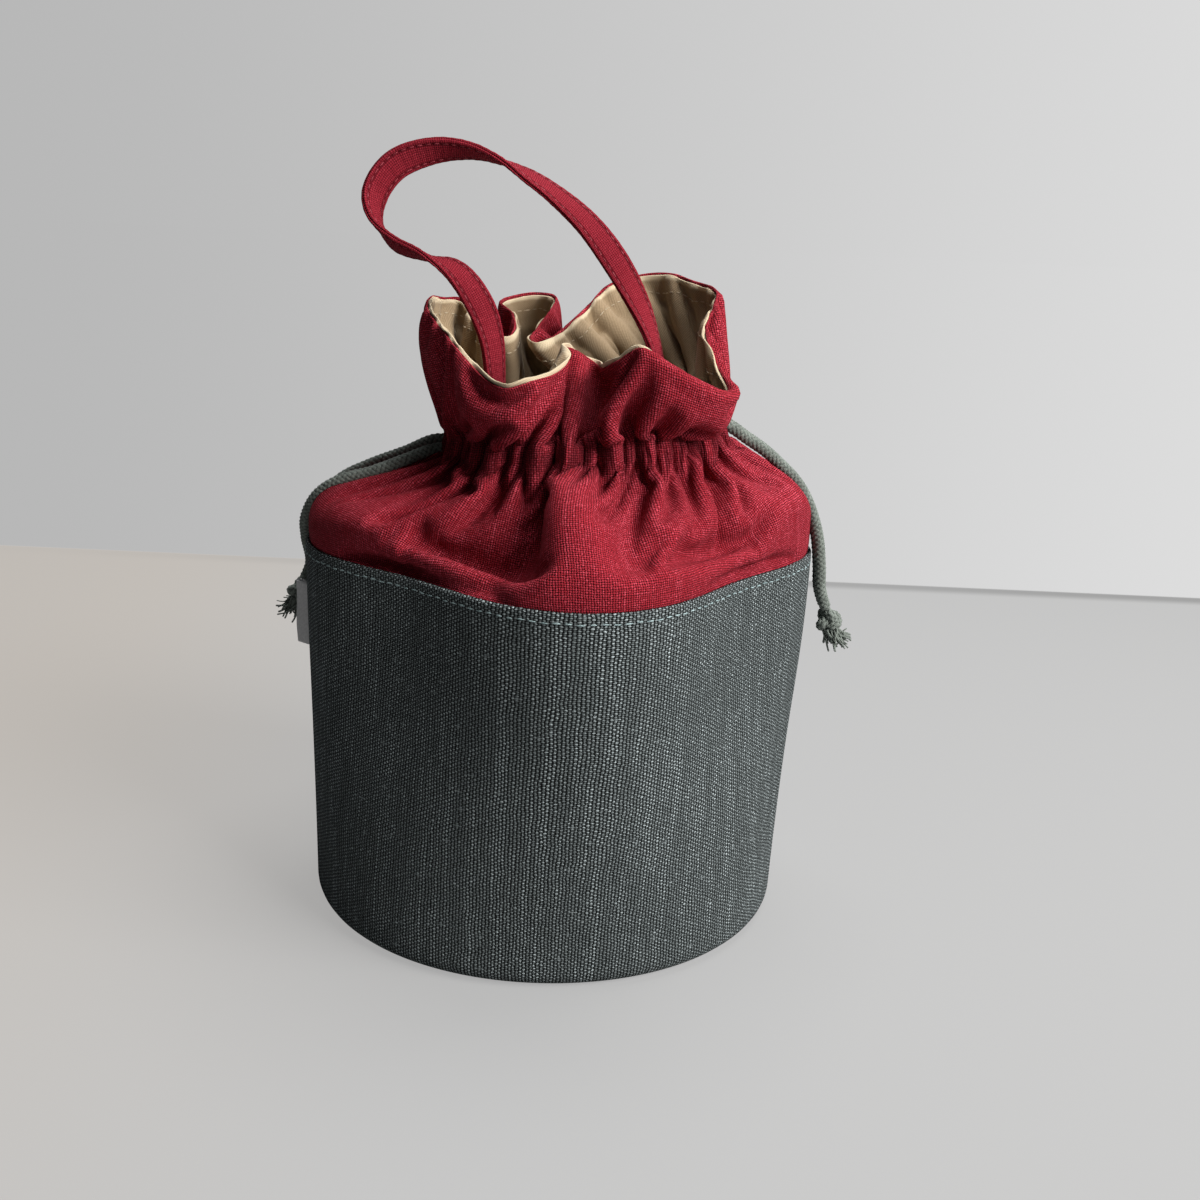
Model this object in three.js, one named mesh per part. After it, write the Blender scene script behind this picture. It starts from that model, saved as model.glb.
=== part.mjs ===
// A drawstring bucket bag: a stiffened canvas bucket, a linen collar that two cords gather into a neck,
// a lined and ruffled mouth, and a folded strap handle.
// Millimetres, +Z up. The origin is the centre of the underside, the front is -Y,
// and the side seams lie at +X (right) and -X (left).

import * as THREE from 'three';
import { LoftGeometry } from 'three/addons/geometries/LoftGeometry.js';

// Bucket
const bodyHeight = 129;
const bodyRadius = 80.5;
const footOval = 0.04;
const rimSquare = 0.09;
const rimTurn = 1.7;
const rimLean = 2.7;
const footRound = 6;
const canvasThickness = 1.6;

// Cloth, and the gap between sewn layers
const linenThickness = 0.9;
const twillThickness = 0.7;
const seamGap = 0.3;
const liningEase = 1.5;

// Collar: its hem inside the bucket, its gathered neck and the casing for the cords
const hemDepth = 7;
const neckRise = 38;
const neckRadius = 43.5;
const neckShift = 8.7;
const neckTilt = 0.097;
const casingHeight = 11;
const pleatCount = 24;
const pleatDepth = 4;
const shoulderFold = 3.2;
const shoulderInward = [ 0, 0.03, 0.47, 1 ];
const shoulderRise = [ 0, 0.46, 0.82, 1 ];
const liningPleat = 2.5;
const ruffleFlare = 1.3;
const ruffleSwell = 1;
const stepsPerPleat = 4;

// Drawcords
const cordDiameter = 4;
const cordSides = 8;
const loopSteps = 36;
const tailSteps = 26;
const loopGap = 13;
const knotRadius = 4.6;
const knotSides = 10;

// Strap handle
const strapWidth = 9.5;
const strapThickness = 2;
const strapSteps = 54;

// Label tab in the left side seam
const labelHeight = 23;
const labelDepth = 9;
const labelThickness = 1.6;
const labelDrop = 20;
const labelLean = 0.7;
const labelSegments = 4;

const neckHeight = bodyHeight + neckRise;
const cordPitch = cordDiameter + seamGap;

// The edge of the mouth, seen from above and taken anticlockwise from the right seam:
// x, y and height from the middle of the neck.
const mouthEdge = [
	// right back lobe
	[ 43, 18, 47.5 ], [ 36, 33, 50 ], [ 28, 43, 52 ], [ 18, 48, 51 ], [ 6, 45, 47 ],
	// deep fold, leaning to the left
	[ - 1, 35, 40 ], [ - 7, 22, 34.5 ], [ - 13, 10, 30 ], [ - 17, 4.5, 28.5 ], [ - 19.5, 6.5, 30 ],
	[ - 18, 13, 32.5 ],
	// left back lobe
	[ - 12.5, 33, 41.5 ], [ - 15, 41, 43 ], [ - 22, 44, 43 ], [ - 29.5, 41, 41.5 ], [ - 32.5, 34, 40 ],
	// second fold
	[ - 27.5, 23, 37 ], [ - 25.5, 12, 33 ], [ - 27.5, 4, 30 ], [ - 31.5, 4, 30.5 ], [ - 39, 14, 35 ],
	// left lobe
	[ - 45.5, 26, 41 ], [ - 51, 24, 41 ], [ - 53.5, 8, 42 ], [ - 52.5, - 8, 39 ], [ - 45.5, - 22, 33 ],
	// left front lobe, which droops
	[ - 28, - 46, 20.5 ], [ - 22.5, - 50, 19.5 ], [ - 16, - 49, 21.5 ], [ - 9, - 44, 23.5 ], [ - 5, - 37, 26.5 ],
	// front fold
	[ - 6.5, - 27, 30 ], [ - 3.5, - 21, 29 ], [ 1.5, - 20, 26 ], [ 5.5, - 27, 24 ], [ 5.5, - 36, 25 ],
	// right front lobe, which droops
	[ 10, - 45, 28.5 ], [ 17, - 50, 33 ], [ 25, - 49, 29 ], [ 34, - 45, 22.5 ], [ 41, - 39, 18.5 ],
	[ 45, - 31, 20 ],
	// right side, drawn in
	[ 42.5, - 18, 25.5 ], [ 39, - 3, 35 ]
];

// The strap between its sewn ends, from left to right: x, y and height from the middle of the neck,
// and the turn of the strap about its own length in degrees.
const strapRoute = [
	[ - 30, - 5, 16.5, 30 ], [ - 31.5, - 7, 30.5, 46 ], [ - 35.5, - 8, 41.5, 66 ], [ - 43.5, - 9, 51.5, 38 ],
	[ - 54.5, - 9, 56, - 14 ], [ - 63.5, - 8, 59.5, - 22 ], [ - 69.5, - 7, 67, 12 ], [ - 69.5, - 5, 74.5, 48 ],
	[ - 63.5, - 3, 83, 66 ], [ - 51.5, - 1, 88, 46 ], [ - 40, 0, 88.5, 24 ], [ - 30.5, 1, 86, 4 ],
	[ - 22, 2, 82, - 20 ], [ - 13.5, 3, 77, - 32 ], [ - 2, 3, 68, - 50 ], [ 7.5, 3, 57, - 66 ],
	[ 15.5, 3, 44.5, - 48 ], [ 20.5, 2, 34, - 28 ], [ 24.5, 1, 22, - 14 ]
];

// Free tails of the cords between the neck and the knot: share of the way in from the rim to the neck,
// distance from the side seam in cord pitches, and share of the way up from the rim to the casing.
const leftFrontTail = [
	[ 0.91, - 0.98, 0.89 ], [ 0.67, - 0.98, 0.77 ], [ 0.42, - 0.98, 0.64 ], [ 0.22, - 0.93, 0.47 ],
	[ 0.07, - 0.7, 0.22 ], [ - 0.02, 0, - 0.13 ]
];
const leftBackTail = [
	[ 0.89, 0.98, 0.94 ], [ 0.67, 1.05, 0.81 ], [ 0.42, 1.05, 0.65 ], [ 0.22, 0.93, 0.47 ],
	[ 0.06, 1, 0.22 ], [ - 0.02, 1.7, - 0.13 ]
];
const rightFrontTail = [
	[ 0.93, - 0.79, 0.92 ], [ 0.73, - 0.58, 0.82 ], [ 0.56, - 0.53, 0.73 ], [ 0.4, - 0.53, 0.62 ],
	[ 0.25, - 0.53, 0.5 ], [ 0.13, - 0.53, 0.34 ], [ 0.02, - 0.53, 0.09 ], [ - 0.03, - 0.53, - 0.16 ]
];
const rightBackTail = rightFrontTail.map( ( [ inward, along, rise ] ) => [ inward, - along, rise ] );

// The way of a tail through the slot: distance out from the loop and from the side seam, in cord pitches
const slotRoute = [ [ 0.2, 1.32 ], [ 1, 1.05 ] ];

// Knots, as the middle of the top and the tip of the frayed tassel:
// distance out from the rim, y, and height above the rim
const leftKnot = [ [ 7, 12, - 22.4 ], [ 14.2, 14, - 40 ] ];
const rightKnot = [ [ 6.8, 0, - 21 ], [ 12.2, 0, - 36 ] ];

// Profile of a knot and its tassel: share of the length, and share of the knot's radius
const knotProfile = [ [ 0.06, 0.7 ], [ 0.2, 1 ], [ 0.45, 1 ], [ 0.6, 0.65 ], [ 0.8, 0.85 ], [ 0.97, 0.95 ] ];

// Materials
const canvas = new THREE.MeshStandardMaterial( { color: 0x3a4444, roughness: 0.95, metalness: 0 } );
const linen = new THREE.MeshStandardMaterial( { color: 0x8e1d2f, roughness: 0.9, metalness: 0 } );
const twill = new THREE.MeshStandardMaterial( { color: 0xa8926c, roughness: 0.9, metalness: 0 } );
const braid = new THREE.MeshStandardMaterial( { color: 0x5c6a62, roughness: 0.95, metalness: 0 } );
const ribbon = new THREE.MeshStandardMaterial( { color: 0xa9a9a8, roughness: 0.7, metalness: 0 } );

const bag = new THREE.Group();
const { lerp, smoothstep, euclideanModulo, degToRad } = THREE.MathUtils;

function addPiece( name, geometry, material ) {

	const mesh = new THREE.Mesh( geometry, material );
	mesh.name = name;
	bag.add( mesh );

}

function bezier( t, a, b, c, d ) {

	const s = 1 - t;
	return a * s * s * s + 3 * b * s * s * t + 3 * c * s * t * t + d * t * t * t;

}

// Bucket surface at a share w of the way round from the right seam
function bodyPoint( w, z, inset ) {

	const angle = 2 * Math.PI * w;
	const rise = smoothstep( z, 0, bodyHeight );
	const oval = footOval * ( 1 - rise ) * Math.cos( 2 * angle );
	const square = rimSquare * rise * Math.cos( 4 * ( angle - rimTurn ) );
	const radius = bodyRadius * ( 1 + oval + square ) - inset;
	return new THREE.Vector3( rimLean * rise + radius * Math.cos( angle ), radius * Math.sin( angle ), z );

}

// Half of a cloth tube, from one side seam to the other: slices through the wall,
// each an inner line up and an outer line down
const columns = pleatCount * stepsPerPleat / 2;
const seamShare = seamGap / 2 / ( 2 * Math.PI * neckRadius );

function halfTube( start, innerLine, outerLine ) {

	const slices = [];

	for ( let i = 0; i <= columns; i ++ ) {

		const w = start + lerp( seamShare, 0.5 - seamShare, i / columns );
		slices.push( [ ...innerLine( w ), ...outerLine( w ).reverse() ] );

	}

	return new LoftGeometry( slices, { capStart: true, capEnd: true } );

}

function addHalves( name, innerLine, outerLine, material ) {

	addPiece( `${ name }_back`, halfTube( 0, innerLine, outerLine ), material );
	addPiece( `${ name }_front`, halfTube( 0.5, innerLine, outerLine ), material );

}

// Bucket panels, whose foot turns under to meet the base
const hemHeight = bodyHeight - hemDepth;
const footTurns = [ 0, 30, 60, 90 ].map( degToRad );
const wallHeights = [ bodyHeight / 2, hemHeight, bodyHeight ];

function bodyLine( depth ) {

	const round = footRound - depth;
	return w => [
		...footTurns.map( turn => bodyPoint(
			w, footRound - round * Math.cos( turn ), footRound - round * Math.sin( turn )
		) ),
		...wallHeights.map( z => bodyPoint( w, z, depth ) )
	];

}

addHalves( 'body', bodyLine( canvasThickness ), bodyLine( 0 ), canvas );

// Base discs: the canvas bottom inside the turned foot, and the lining bottom on top of it
function disc( bottom, thickness ) {

	const points = [];

	for ( let i = 0; i < 2 * columns; i ++ ) {

		const { x, y } = bodyPoint( i / ( 2 * columns ), 0, footRound + seamGap );
		points.push( new THREE.Vector2( x, y ) );

	}

	const shape = new THREE.Shape( points );
	const geometry = new THREE.ExtrudeGeometry( shape, { depth: thickness, bevelEnabled: false } );
	return geometry.translate( 0, 0, bottom );

}

const liningFloor = canvasThickness + seamGap;
addPiece( 'base_panel', disc( 0, canvasThickness ), canvas );
addPiece( 'lining_base', disc( liningFloor, twillThickness ), twill );

// Collar and lining share one surface, on which the inside of the collar lies. It is given at stations
// from the hem up to the mouth, without pleats. The pleats move it in and out, level with the ground.
const mouth = new THREE.CatmullRomCurve3( mouthEdge.map( ( [ x, y, rise ] ) => new THREE.Vector3(
	neckShift + x, y, neckHeight + rise
) ), true, 'centripetal' );
mouth.arcLengthDivisions = 1000;

const rimInset = canvasThickness + seamGap + linenThickness;

function neckPoint( w, height ) {

	const angle = 2 * Math.PI * w;
	const x = neckRadius * Math.cos( angle );
	const y = neckRadius * Math.sin( angle );
	return new THREE.Vector3( neckShift + x, y, neckHeight + neckTilt * x + height );

}

function between( from, to, level, rise ) {

	return new THREE.Vector3( lerp( from.x, to.x, level ), lerp( from.y, to.y, level ), lerp( from.z, to.z, rise ) );

}

function shoulderPoint( w, t ) {

	const rim = bodyPoint( w, bodyHeight, rimInset );
	const neck = neckPoint( w, - casingHeight / 2 );
	return between( rim, neck, bezier( t, ...shoulderInward ), bezier( t, ...shoulderRise ) );

}

function rufflePoint( w, t ) {

	const neck = neckPoint( w, casingHeight / 2 );
	const edge = mouth.getPointAt( euclideanModulo( w, 1 ) );
	return between( neck, edge, t ** ruffleFlare, t );

}

function outward( place, w ) {

	const step = 0.001;
	const along = place( w + step ).sub( place( w - step ) );
	return new THREE.Vector3( along.y, - along.x, 0 ).normalize();

}

// Room for a cord between the pleats of the two cloths in the casing
const liningCasing = pleatDepth + cordPitch + liningPleat;
const casing = { fold: pleatDepth, swell: 0, liningFold: liningPleat, hang: liningCasing, open: true };

function softStation( place, fold, swell, hang ) {

	const depth = fold * shoulderFold;
	return { place, fold: depth, swell: swell * ruffleSwell, liningFold: depth, hang, open: false };

}

// Each station: where the cloth lies, how deep the collar and its lining are pleated there, how far it
// swells out, how far the lining hangs inside the collar, and whether the side seams are open for the cords
const stations = [
	softStation( w => bodyPoint( w, hemHeight, rimInset ), 0, 0, 0 ),
	softStation( w => bodyPoint( w, bodyHeight, rimInset ), 0, 0, 0 ),
	softStation( w => shoulderPoint( w, 0.14 ), 0.1, 0, 0 ),
	softStation( w => shoulderPoint( w, 0.34 ), 0.5, 0, 1 ),
	softStation( w => shoulderPoint( w, 0.58 ), 0.8, 0, 2 ),
	softStation( w => shoulderPoint( w, 0.82 ), 1, 0, 3 ),
	{ place: w => neckPoint( w, - casingHeight / 2 ), ...casing },
	{ place: w => neckPoint( w, casingHeight / 2 ), ...casing },
	softStation( w => rufflePoint( w, 0.28 ), 0.7, 0.7, 2 ),
	softStation( w => rufflePoint( w, 0.52 ), 0.3, 1, 0.8 ),
	softStation( w => rufflePoint( w, 0.76 ), 0.1, 0.6, 0.5 ),
	softStation( w => rufflePoint( w, 1 ), 0, 0, 0.2 )
];

const pleatWave = w => - Math.cos( 2 * Math.PI * pleatCount * w );

// Half-width of the slot that lets two cords out side by side, as a share of the way round the neck
const slotShare = 2 * cordPitch / ( 2 * Math.PI * neckRadius );

// A station's cloth between the side seams moves aside where they are open
function besideSlot( w ) {

	const half = Math.floor( 2 * w ) / 2;
	return half + lerp( slotShare, 0.5 - slotShare, 2 * ( w - half ) );

}

function clothPoint( station, at, w, offset, fold ) {

	const shift = station.swell + offset + fold * pleatWave( w );
	return station.place( at ).addScaledVector( outward( station.place, at ), shift );

}

function collarLine( offset ) {

	return w => stations.map( station => {

		const at = station.open ? besideSlot( w ) : w;
		return clothPoint( station, at, w, offset, station.fold );

	} );

}

function liningLine( depth ) {

	const foot = liningFloor + twillThickness + seamGap;
	const inset = canvasThickness + liningEase + depth;
	return w => [
		bodyPoint( w, foot, footRound + liningEase + depth ),
		bodyPoint( w, foot + footRound, inset ),
		bodyPoint( w, hemHeight - linenThickness, inset + linenThickness ),
		...stations.slice( 1 ).map( station => clothPoint(
			station, w, w, - station.hang - seamGap - depth, station.liningFold
		) )
	];

}

addHalves( 'collar', collarLine( 0 ), collarLine( linenThickness ), linen );
addHalves( 'lining', liningLine( twillThickness ), liningLine( 0 ), twill );

// Drawcords: a loop round the casing, two free tails and a knot with a frayed tassel
const cordSection = new THREE.Shape( Array.from( { length: cordSides }, ( _, i ) => {

	const angle = 2 * Math.PI * i / cordSides;
	return new THREE.Vector2( Math.cos( angle ), Math.sin( angle ) ).multiplyScalar( cordDiameter / 2 );

} ) );

function cord( points, steps ) {

	const extrudePath = new THREE.CatmullRomCurve3( points );
	return new THREE.ExtrudeGeometry( cordSection, { extrudePath, steps, bevelEnabled: false } );

}

const loopRadius = neckRadius - pleatDepth - seamGap - cordDiameter / 2;
const loopLift = cordPitch / 2;

function loopPoint( angle, radius, lift ) {

	const x = radius * Math.cos( angle );
	return new THREE.Vector3( neckShift + x, radius * Math.sin( angle ), neckHeight + neckTilt * x + lift );

}

function casingLoop( seamAngle, lift ) {

	const points = [];

	for ( let i = 0; i <= loopSteps; i ++ ) {

		const angle = degToRad( seamAngle + lerp( loopGap, 360 - loopGap, i / loopSteps ) );
		points.push( loopPoint( angle, loopRadius, lift ) );

	}

	return cord( points, loopSteps );

}

// A point at the rim of a side seam, moved out from it, along y and up
function fromRim( side, [ out, along, up ] ) {

	const rim = bodyPoint( side > 0 ? 0 : 0.5, bodyHeight, 0 );
	return new THREE.Vector3( rim.x + side * out, along, bodyHeight + up );

}

// A free tail: out of the end of the loop, through the slot in the seam,
// along the given places and into the knot
function tail( side, lift, places, [ top, tip ] ) {

	const hand = Math.sign( places[ 0 ][ 1 ] );
	const seamAngle = side > 0 ? 0 : Math.PI;
	const start = degToRad( loopGap ) - seamGap / loopRadius;
	const onLoop = [ start, start - seamGap / loopRadius ].map( turn => loopPoint(
		seamAngle + side * hand * turn, loopRadius, lift
	) );
	const inSlot = slotRoute.map( ( [ out, along ] ) => {

		const point = loopPoint( seamAngle, loopRadius + out * cordPitch, lift );
		return point.setY( hand * along * cordPitch );

	} );
	const reach = fromRim( side, [ 0, 0, 0 ] ).x - ( neckShift + side * neckRadius );
	const climb = neckRise + side * neckTilt * neckRadius + lift;
	const free = places.map( ( [ inward, along, rise ] ) => fromRim( side, [
		cordDiameter / 2 - inward * side * reach, along * cordPitch, cordDiameter / 2 + rise * climb
	] ) );
	const end = fromRim( side, top );
	const along = fromRim( side, tip ).sub( end ).normalize();
	end.addScaledVector( along, - seamGap ).y += hand * cordPitch / 2;
	const before = end.clone().addScaledVector( along, - 2 * cordDiameter );
	return cord( [ ...onLoop, ...inSlot, ...free, before, end ], tailSteps );

}

function knot( side, [ top, tip ] ) {

	const start = fromRim( side, top );
	const along = fromRim( side, tip ).sub( start );
	const length = along.length();
	const profile = [ [ 0, 0 ], ...knotProfile, [ 1, 0 ] ].map( ( [ share, radius ] ) => new THREE.Vector2(
		radius * knotRadius, share * length
	) );
	const geometry = new THREE.LatheGeometry( profile, knotSides );
	const turn = new THREE.Quaternion().setFromUnitVectors( new THREE.Vector3( 0, 1, 0 ), along.normalize() );
	return geometry.applyQuaternion( turn ).translate( start.x, start.y, start.z );

}

addPiece( 'drawcord_left_loop', casingLoop( 180, - loopLift ), braid );
addPiece( 'drawcord_left_tail_front', tail( - 1, - loopLift, leftFrontTail, leftKnot ), braid );
addPiece( 'drawcord_left_tail_back', tail( - 1, - loopLift, leftBackTail, leftKnot ), braid );
addPiece( 'drawcord_left_knot', knot( - 1, leftKnot ), braid );
addPiece( 'drawcord_right_loop', casingLoop( 0, loopLift ), braid );
addPiece( 'drawcord_right_tail_front', tail( 1, loopLift, rightFrontTail, rightKnot ), braid );
addPiece( 'drawcord_right_tail_back', tail( 1, loopLift, rightBackTail, rightKnot ), braid );
addPiece( 'drawcord_right_knot', knot( 1, rightKnot ), braid );

// Strap handle, with its ends sewn flat to the lining at the side seams of the casing
const liningRadius = neckRadius - liningCasing - liningPleat - twillThickness - seamGap;
const seatRadius = liningRadius - seamGap - strapThickness / 2;

function strapEnd( side, height ) {

	const x = side * seatRadius;
	return [ x, 0, neckTilt * x + height, 0 ];

}

const strapPlaces = [
	strapEnd( - 1, - casingHeight / 2 ), strapEnd( - 1, casingHeight / 4 ), ...strapRoute,
	strapEnd( 1, casingHeight / 4 ), strapEnd( 1, - casingHeight / 2 )
];
const strapLine = new THREE.CatmullRomCurve3( strapPlaces.map( ( [ x, y, z ] ) => new THREE.Vector3(
	neckShift + x, y, neckHeight + z
) ) );

function strapTurn( t ) {

	const place = t * ( strapPlaces.length - 1 );
	const before = Math.min( Math.floor( place ), strapPlaces.length - 2 );
	return degToRad( lerp( strapPlaces[ before ][ 3 ], strapPlaces[ before + 1 ][ 3 ], place - before ) );

}

function strapSection( t ) {

	const middle = strapLine.getPoint( t );
	const along = strapLine.getTangent( t );
	const near = new THREE.Vector3( 0, - 1, 0 ).addScaledVector( along, along.y ).normalize();
	near.applyAxisAngle( along, - strapTurn( t ) );
	const face = new THREE.Vector3().crossVectors( near, along );
	const corners = [ [ 1, 1 ], [ 1, - 1 ], [ - 1, - 1 ], [ - 1, 1 ] ];
	return corners.map( ( [ across, out ] ) => middle.clone()
		.addScaledVector( near, across * strapWidth / 2 )
		.addScaledVector( face, out * strapThickness / 2 ) );

}

const strapSections = Array.from( { length: strapSteps + 1 }, ( _, i ) => strapSection( i / strapSteps ) );
addPiece( 'handle_strap', new LoftGeometry( strapSections, { capStart: true, capEnd: true } ), linen );

// Label tab: a folded ribbon that stands out of the left side seam and leans back
const labelTop = bodyHeight - labelDrop;
const labelShape = new THREE.Shape();
labelShape.moveTo( 0, - labelThickness / 2 );
labelShape.lineTo( labelDepth - labelThickness / 2, - labelThickness / 2 );
labelShape.absarc( labelDepth - labelThickness / 2, 0, labelThickness / 2, - Math.PI / 2, Math.PI / 2 );
labelShape.lineTo( 0, labelThickness / 2 );
const label = new THREE.ExtrudeGeometry( labelShape, {
	depth: labelHeight, curveSegments: labelSegments, bevelEnabled: false
} );
label.rotateZ( Math.PI - labelLean );
const labelRoot = bodyPoint( 0.5, labelTop, - seamGap - labelThickness / 2 );
addPiece( 'label_tab', label.translate( labelRoot.x, 0, labelTop - labelHeight ), ribbon );

export default bag;
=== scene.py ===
# A drawstring bucket bag: a canvas bucket, a linen collar gathered by two cords, a twill lining,
# a folded strap and a blank label tab. Lengths are millimetres, and become metres as a mesh is made.
import math

import bmesh
import bpy
import numpy as np
from mathutils import Matrix, kdtree


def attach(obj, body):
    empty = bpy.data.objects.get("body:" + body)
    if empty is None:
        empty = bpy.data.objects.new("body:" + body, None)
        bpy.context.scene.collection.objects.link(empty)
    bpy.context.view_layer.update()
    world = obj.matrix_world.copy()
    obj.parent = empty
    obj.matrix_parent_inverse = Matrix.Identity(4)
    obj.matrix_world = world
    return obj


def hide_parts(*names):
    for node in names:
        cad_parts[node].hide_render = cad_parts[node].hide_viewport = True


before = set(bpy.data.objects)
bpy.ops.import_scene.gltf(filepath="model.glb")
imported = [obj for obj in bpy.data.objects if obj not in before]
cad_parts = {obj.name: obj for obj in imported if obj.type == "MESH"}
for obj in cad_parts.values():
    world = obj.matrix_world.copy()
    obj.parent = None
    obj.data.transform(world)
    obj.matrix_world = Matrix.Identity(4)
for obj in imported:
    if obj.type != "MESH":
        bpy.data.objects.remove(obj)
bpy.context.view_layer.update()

MM = 0.001

# Sizes shared with the part's source
BODY_HEIGHT = 129.0
BODY_RADIUS = 80.5
FOOT_OVAL = 0.04
RIM_SQUARE = 0.09
RIM_TURN = 1.7
RIM_LEAN = 2.7
FOOT_ROUND = 6.0
CANVAS = 1.6
LINEN = 0.9
TWILL = 0.7
SEAM_GAP = 0.3
LINING_EASE = 1.5
HEM_DEPTH = 7.0
NECK_RISE = 38.0
NECK_RADIUS = 43.5
NECK_SHIFT = 8.7
NECK_TILT = 0.097
NECK_HEIGHT = BODY_HEIGHT + NECK_RISE
CASING = 11.0
PLEAT_DEPTH = 4.0
LINING_PLEAT = 2.5
CORD = 4.0
CORD_PITCH = CORD + SEAM_GAP
LOOP_GAP = 13.0
LOOP_IN = 1.2
LOOP_RADIUS = NECK_RADIUS - PLEAT_DEPTH - SEAM_GAP - CORD / 2 - LOOP_IN
STRAP_WIDTH = 9.5
STRAP_THICKNESS = 2.0
LABEL_HEIGHT = 23.0
LABEL_DEPTH = 9.0
LABEL_THICKNESS = 1.6
LABEL_DROP = 20.0
LABEL_LEAN = 0.7

# The edge of the mouth, anticlockwise from the right seam: x, y and height from the middle of the neck
MOUTH_EDGE = [
    [43, 18, 47.5], [36, 33, 50], [28, 43, 52], [18, 48, 51], [6, 45, 47], [-1, 35, 40], [-7, 22, 34.5],
    [-13, 10, 30], [-17, 4.5, 28.5], [-19.5, 6.5, 30], [-18, 13, 32.5], [-12.5, 33, 41.5], [-15, 41, 43],
    [-22, 44, 43], [-29.5, 41, 41.5], [-32.5, 34, 40], [-27.5, 23, 37], [-25.5, 12, 33], [-27.5, 4, 30],
    [-31.5, 4, 30.5], [-39, 14, 35], [-45.5, 26, 41], [-51, 24, 41], [-53.5, 8, 42], [-52.5, -8, 39],
    [-45.5, -22, 33], [-28, -46, 20.5], [-22.5, -50, 19.5], [-16, -49, 21.5], [-9, -44, 23.5],
    [-5, -37, 26.5], [-6.5, -27, 30], [-3.5, -21, 29], [1.5, -20, 26], [5.5, -27, 24], [5.5, -36, 25],
    [10, -45, 28.5], [17, -50, 33], [25, -49, 29], [34, -45, 22.5], [41, -39, 18.5], [45, -31, 20],
    [42.5, -18, 25.5], [39, -3, 35],
]

# The strap between its sewn ends: x, y and height from the middle of the neck, and its turn in degrees
STRAP_ROUTE = [
    [-30, -5, 16.5, 30], [-31.5, -7, 30.5, 46], [-35.5, -8, 41.5, 66], [-43.5, -9, 51.5, 38],
    [-54.5, -9, 56, -14], [-63.5, -8, 59.5, -22], [-69.5, -7, 67, 12], [-69.5, -5, 74.5, 48],
    [-63.5, -3, 83, 66], [-51.5, -1, 88, 46], [-40, 0, 88.5, 24], [-30.5, 1, 86, 4], [-22, 2, 82, -20],
    [-13.5, 3, 77, -32], [-2, 3, 68, -50], [7.5, 3, 57, -66], [15.5, 3, 44.5, -48], [20.5, 2, 34, -28],
    [24.5, 1, 22, -14],
]

# The free tails of the cords: share of the way in from the rim to the neck, distance from the seam in
# cord pitches, and share of the way up from the rim to the casing
LEFT_FRONT_TAIL = [
    [0.915, -1.9, 0.93], [0.73, -2.8, 0.83], [0.51, -3.0, 0.69], [0.28, -2.95, 0.575],
    [0.12, -2.5, 0.4], [0.01, -1.3, 0.11], [-0.02, 0, -0.13],
]
LEFT_BACK_TAIL = [
    [0.89, 0.98, 0.97], [0.67, 1.05, 0.82], [0.42, 1.05, 0.66], [0.22, 0.93, 0.495],
    [0.06, 1, 0.22], [-0.02, 1.7, -0.13],
]
RIGHT_FRONT_TAIL = [
    [0.93, -0.79, 0.92], [0.73, -0.58, 0.82], [0.56, -0.53, 0.73], [0.4, -0.53, 0.62],
    [0.25, -0.53, 0.5], [0.13, -0.53, 0.34], [0.02, -0.53, 0.09], [-0.03, -0.53, -0.16],
]
RIGHT_BACK_TAIL = [[inward, -along, rise] for inward, along, rise in RIGHT_FRONT_TAIL]
SLOT_ROUTE = [[0.2, 1.32], [1, 1.05]]

# Knots: the middle of the top and the tip of the tassel, as distance out from the rim, y and height
LEFT_KNOT = [[7, 12, -22.4], [14.2, 14, -40]]
RIGHT_KNOT = [[6.8, 0, -21], [12.2, 0, -36]]


# Curves and surfaces

def unit(v):
    return v / np.maximum(np.linalg.norm(v, axis=-1, keepdims=True), 1e-9)


def smooth(x):
    x = np.clip(x, 0, 1)
    return x * x * (3 - 2 * x)


def bezier(t, a, b, c, d):
    s = 1 - t
    return a * s ** 3 + 3 * b * s * s * t + 3 * c * s * t * t + d * t ** 3


def part_way(t, start, end, a, b):
    return (end - t) / (end - start) * a + (t - start) / (end - start) * b


def curve(points, per_span, closed=False):
    """Centripetal Catmull-Rom line through the points."""
    points = np.asarray(points, float)
    count = len(points)
    line = []
    for i in range(count if closed else count - 1):
        if closed:
            p0, p1, p2, p3 = (points[(i + k) % count] for k in (-1, 0, 1, 2))
        else:
            p1, p2 = points[i], points[i + 1]
            p0 = points[i - 1] if i else 2 * p1 - p2
            p3 = points[i + 2] if i + 2 < count else 2 * p2 - p1
        t1 = np.linalg.norm((p1 - p0)[:3]) ** 0.5
        t2 = t1 + np.linalg.norm((p2 - p1)[:3]) ** 0.5
        t3 = t2 + np.linalg.norm((p3 - p2)[:3]) ** 0.5
        t = np.linspace(t1, t2, per_span, endpoint=False)[:, None]
        middle = part_way(t, t1, t2, p1, p2)
        first = part_way(t, 0, t2, part_way(t, 0, t1, p0, p1), middle)
        last = part_way(t, t1, t3, middle, part_way(t, t2, t3, p2, p3))
        line.append(part_way(t, t1, t2, first, last))
    if not closed:
        line.append(points[-1:])
    return np.concatenate(line)


def running(line):
    steps = np.linalg.norm(np.diff(line[:, :3], axis=0), axis=1)
    return np.concatenate([[0], np.cumsum(steps)])


def even(line, count):
    """The open line again, as evenly spaced points."""
    s = running(line)
    at = np.linspace(0, s[-1], count)
    return np.stack([np.interp(at, s, line[:, k]) for k in range(line.shape[1])], -1)


def ring_length(line):
    return running(np.concatenate([line, line[:1]]))[-1]


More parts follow.
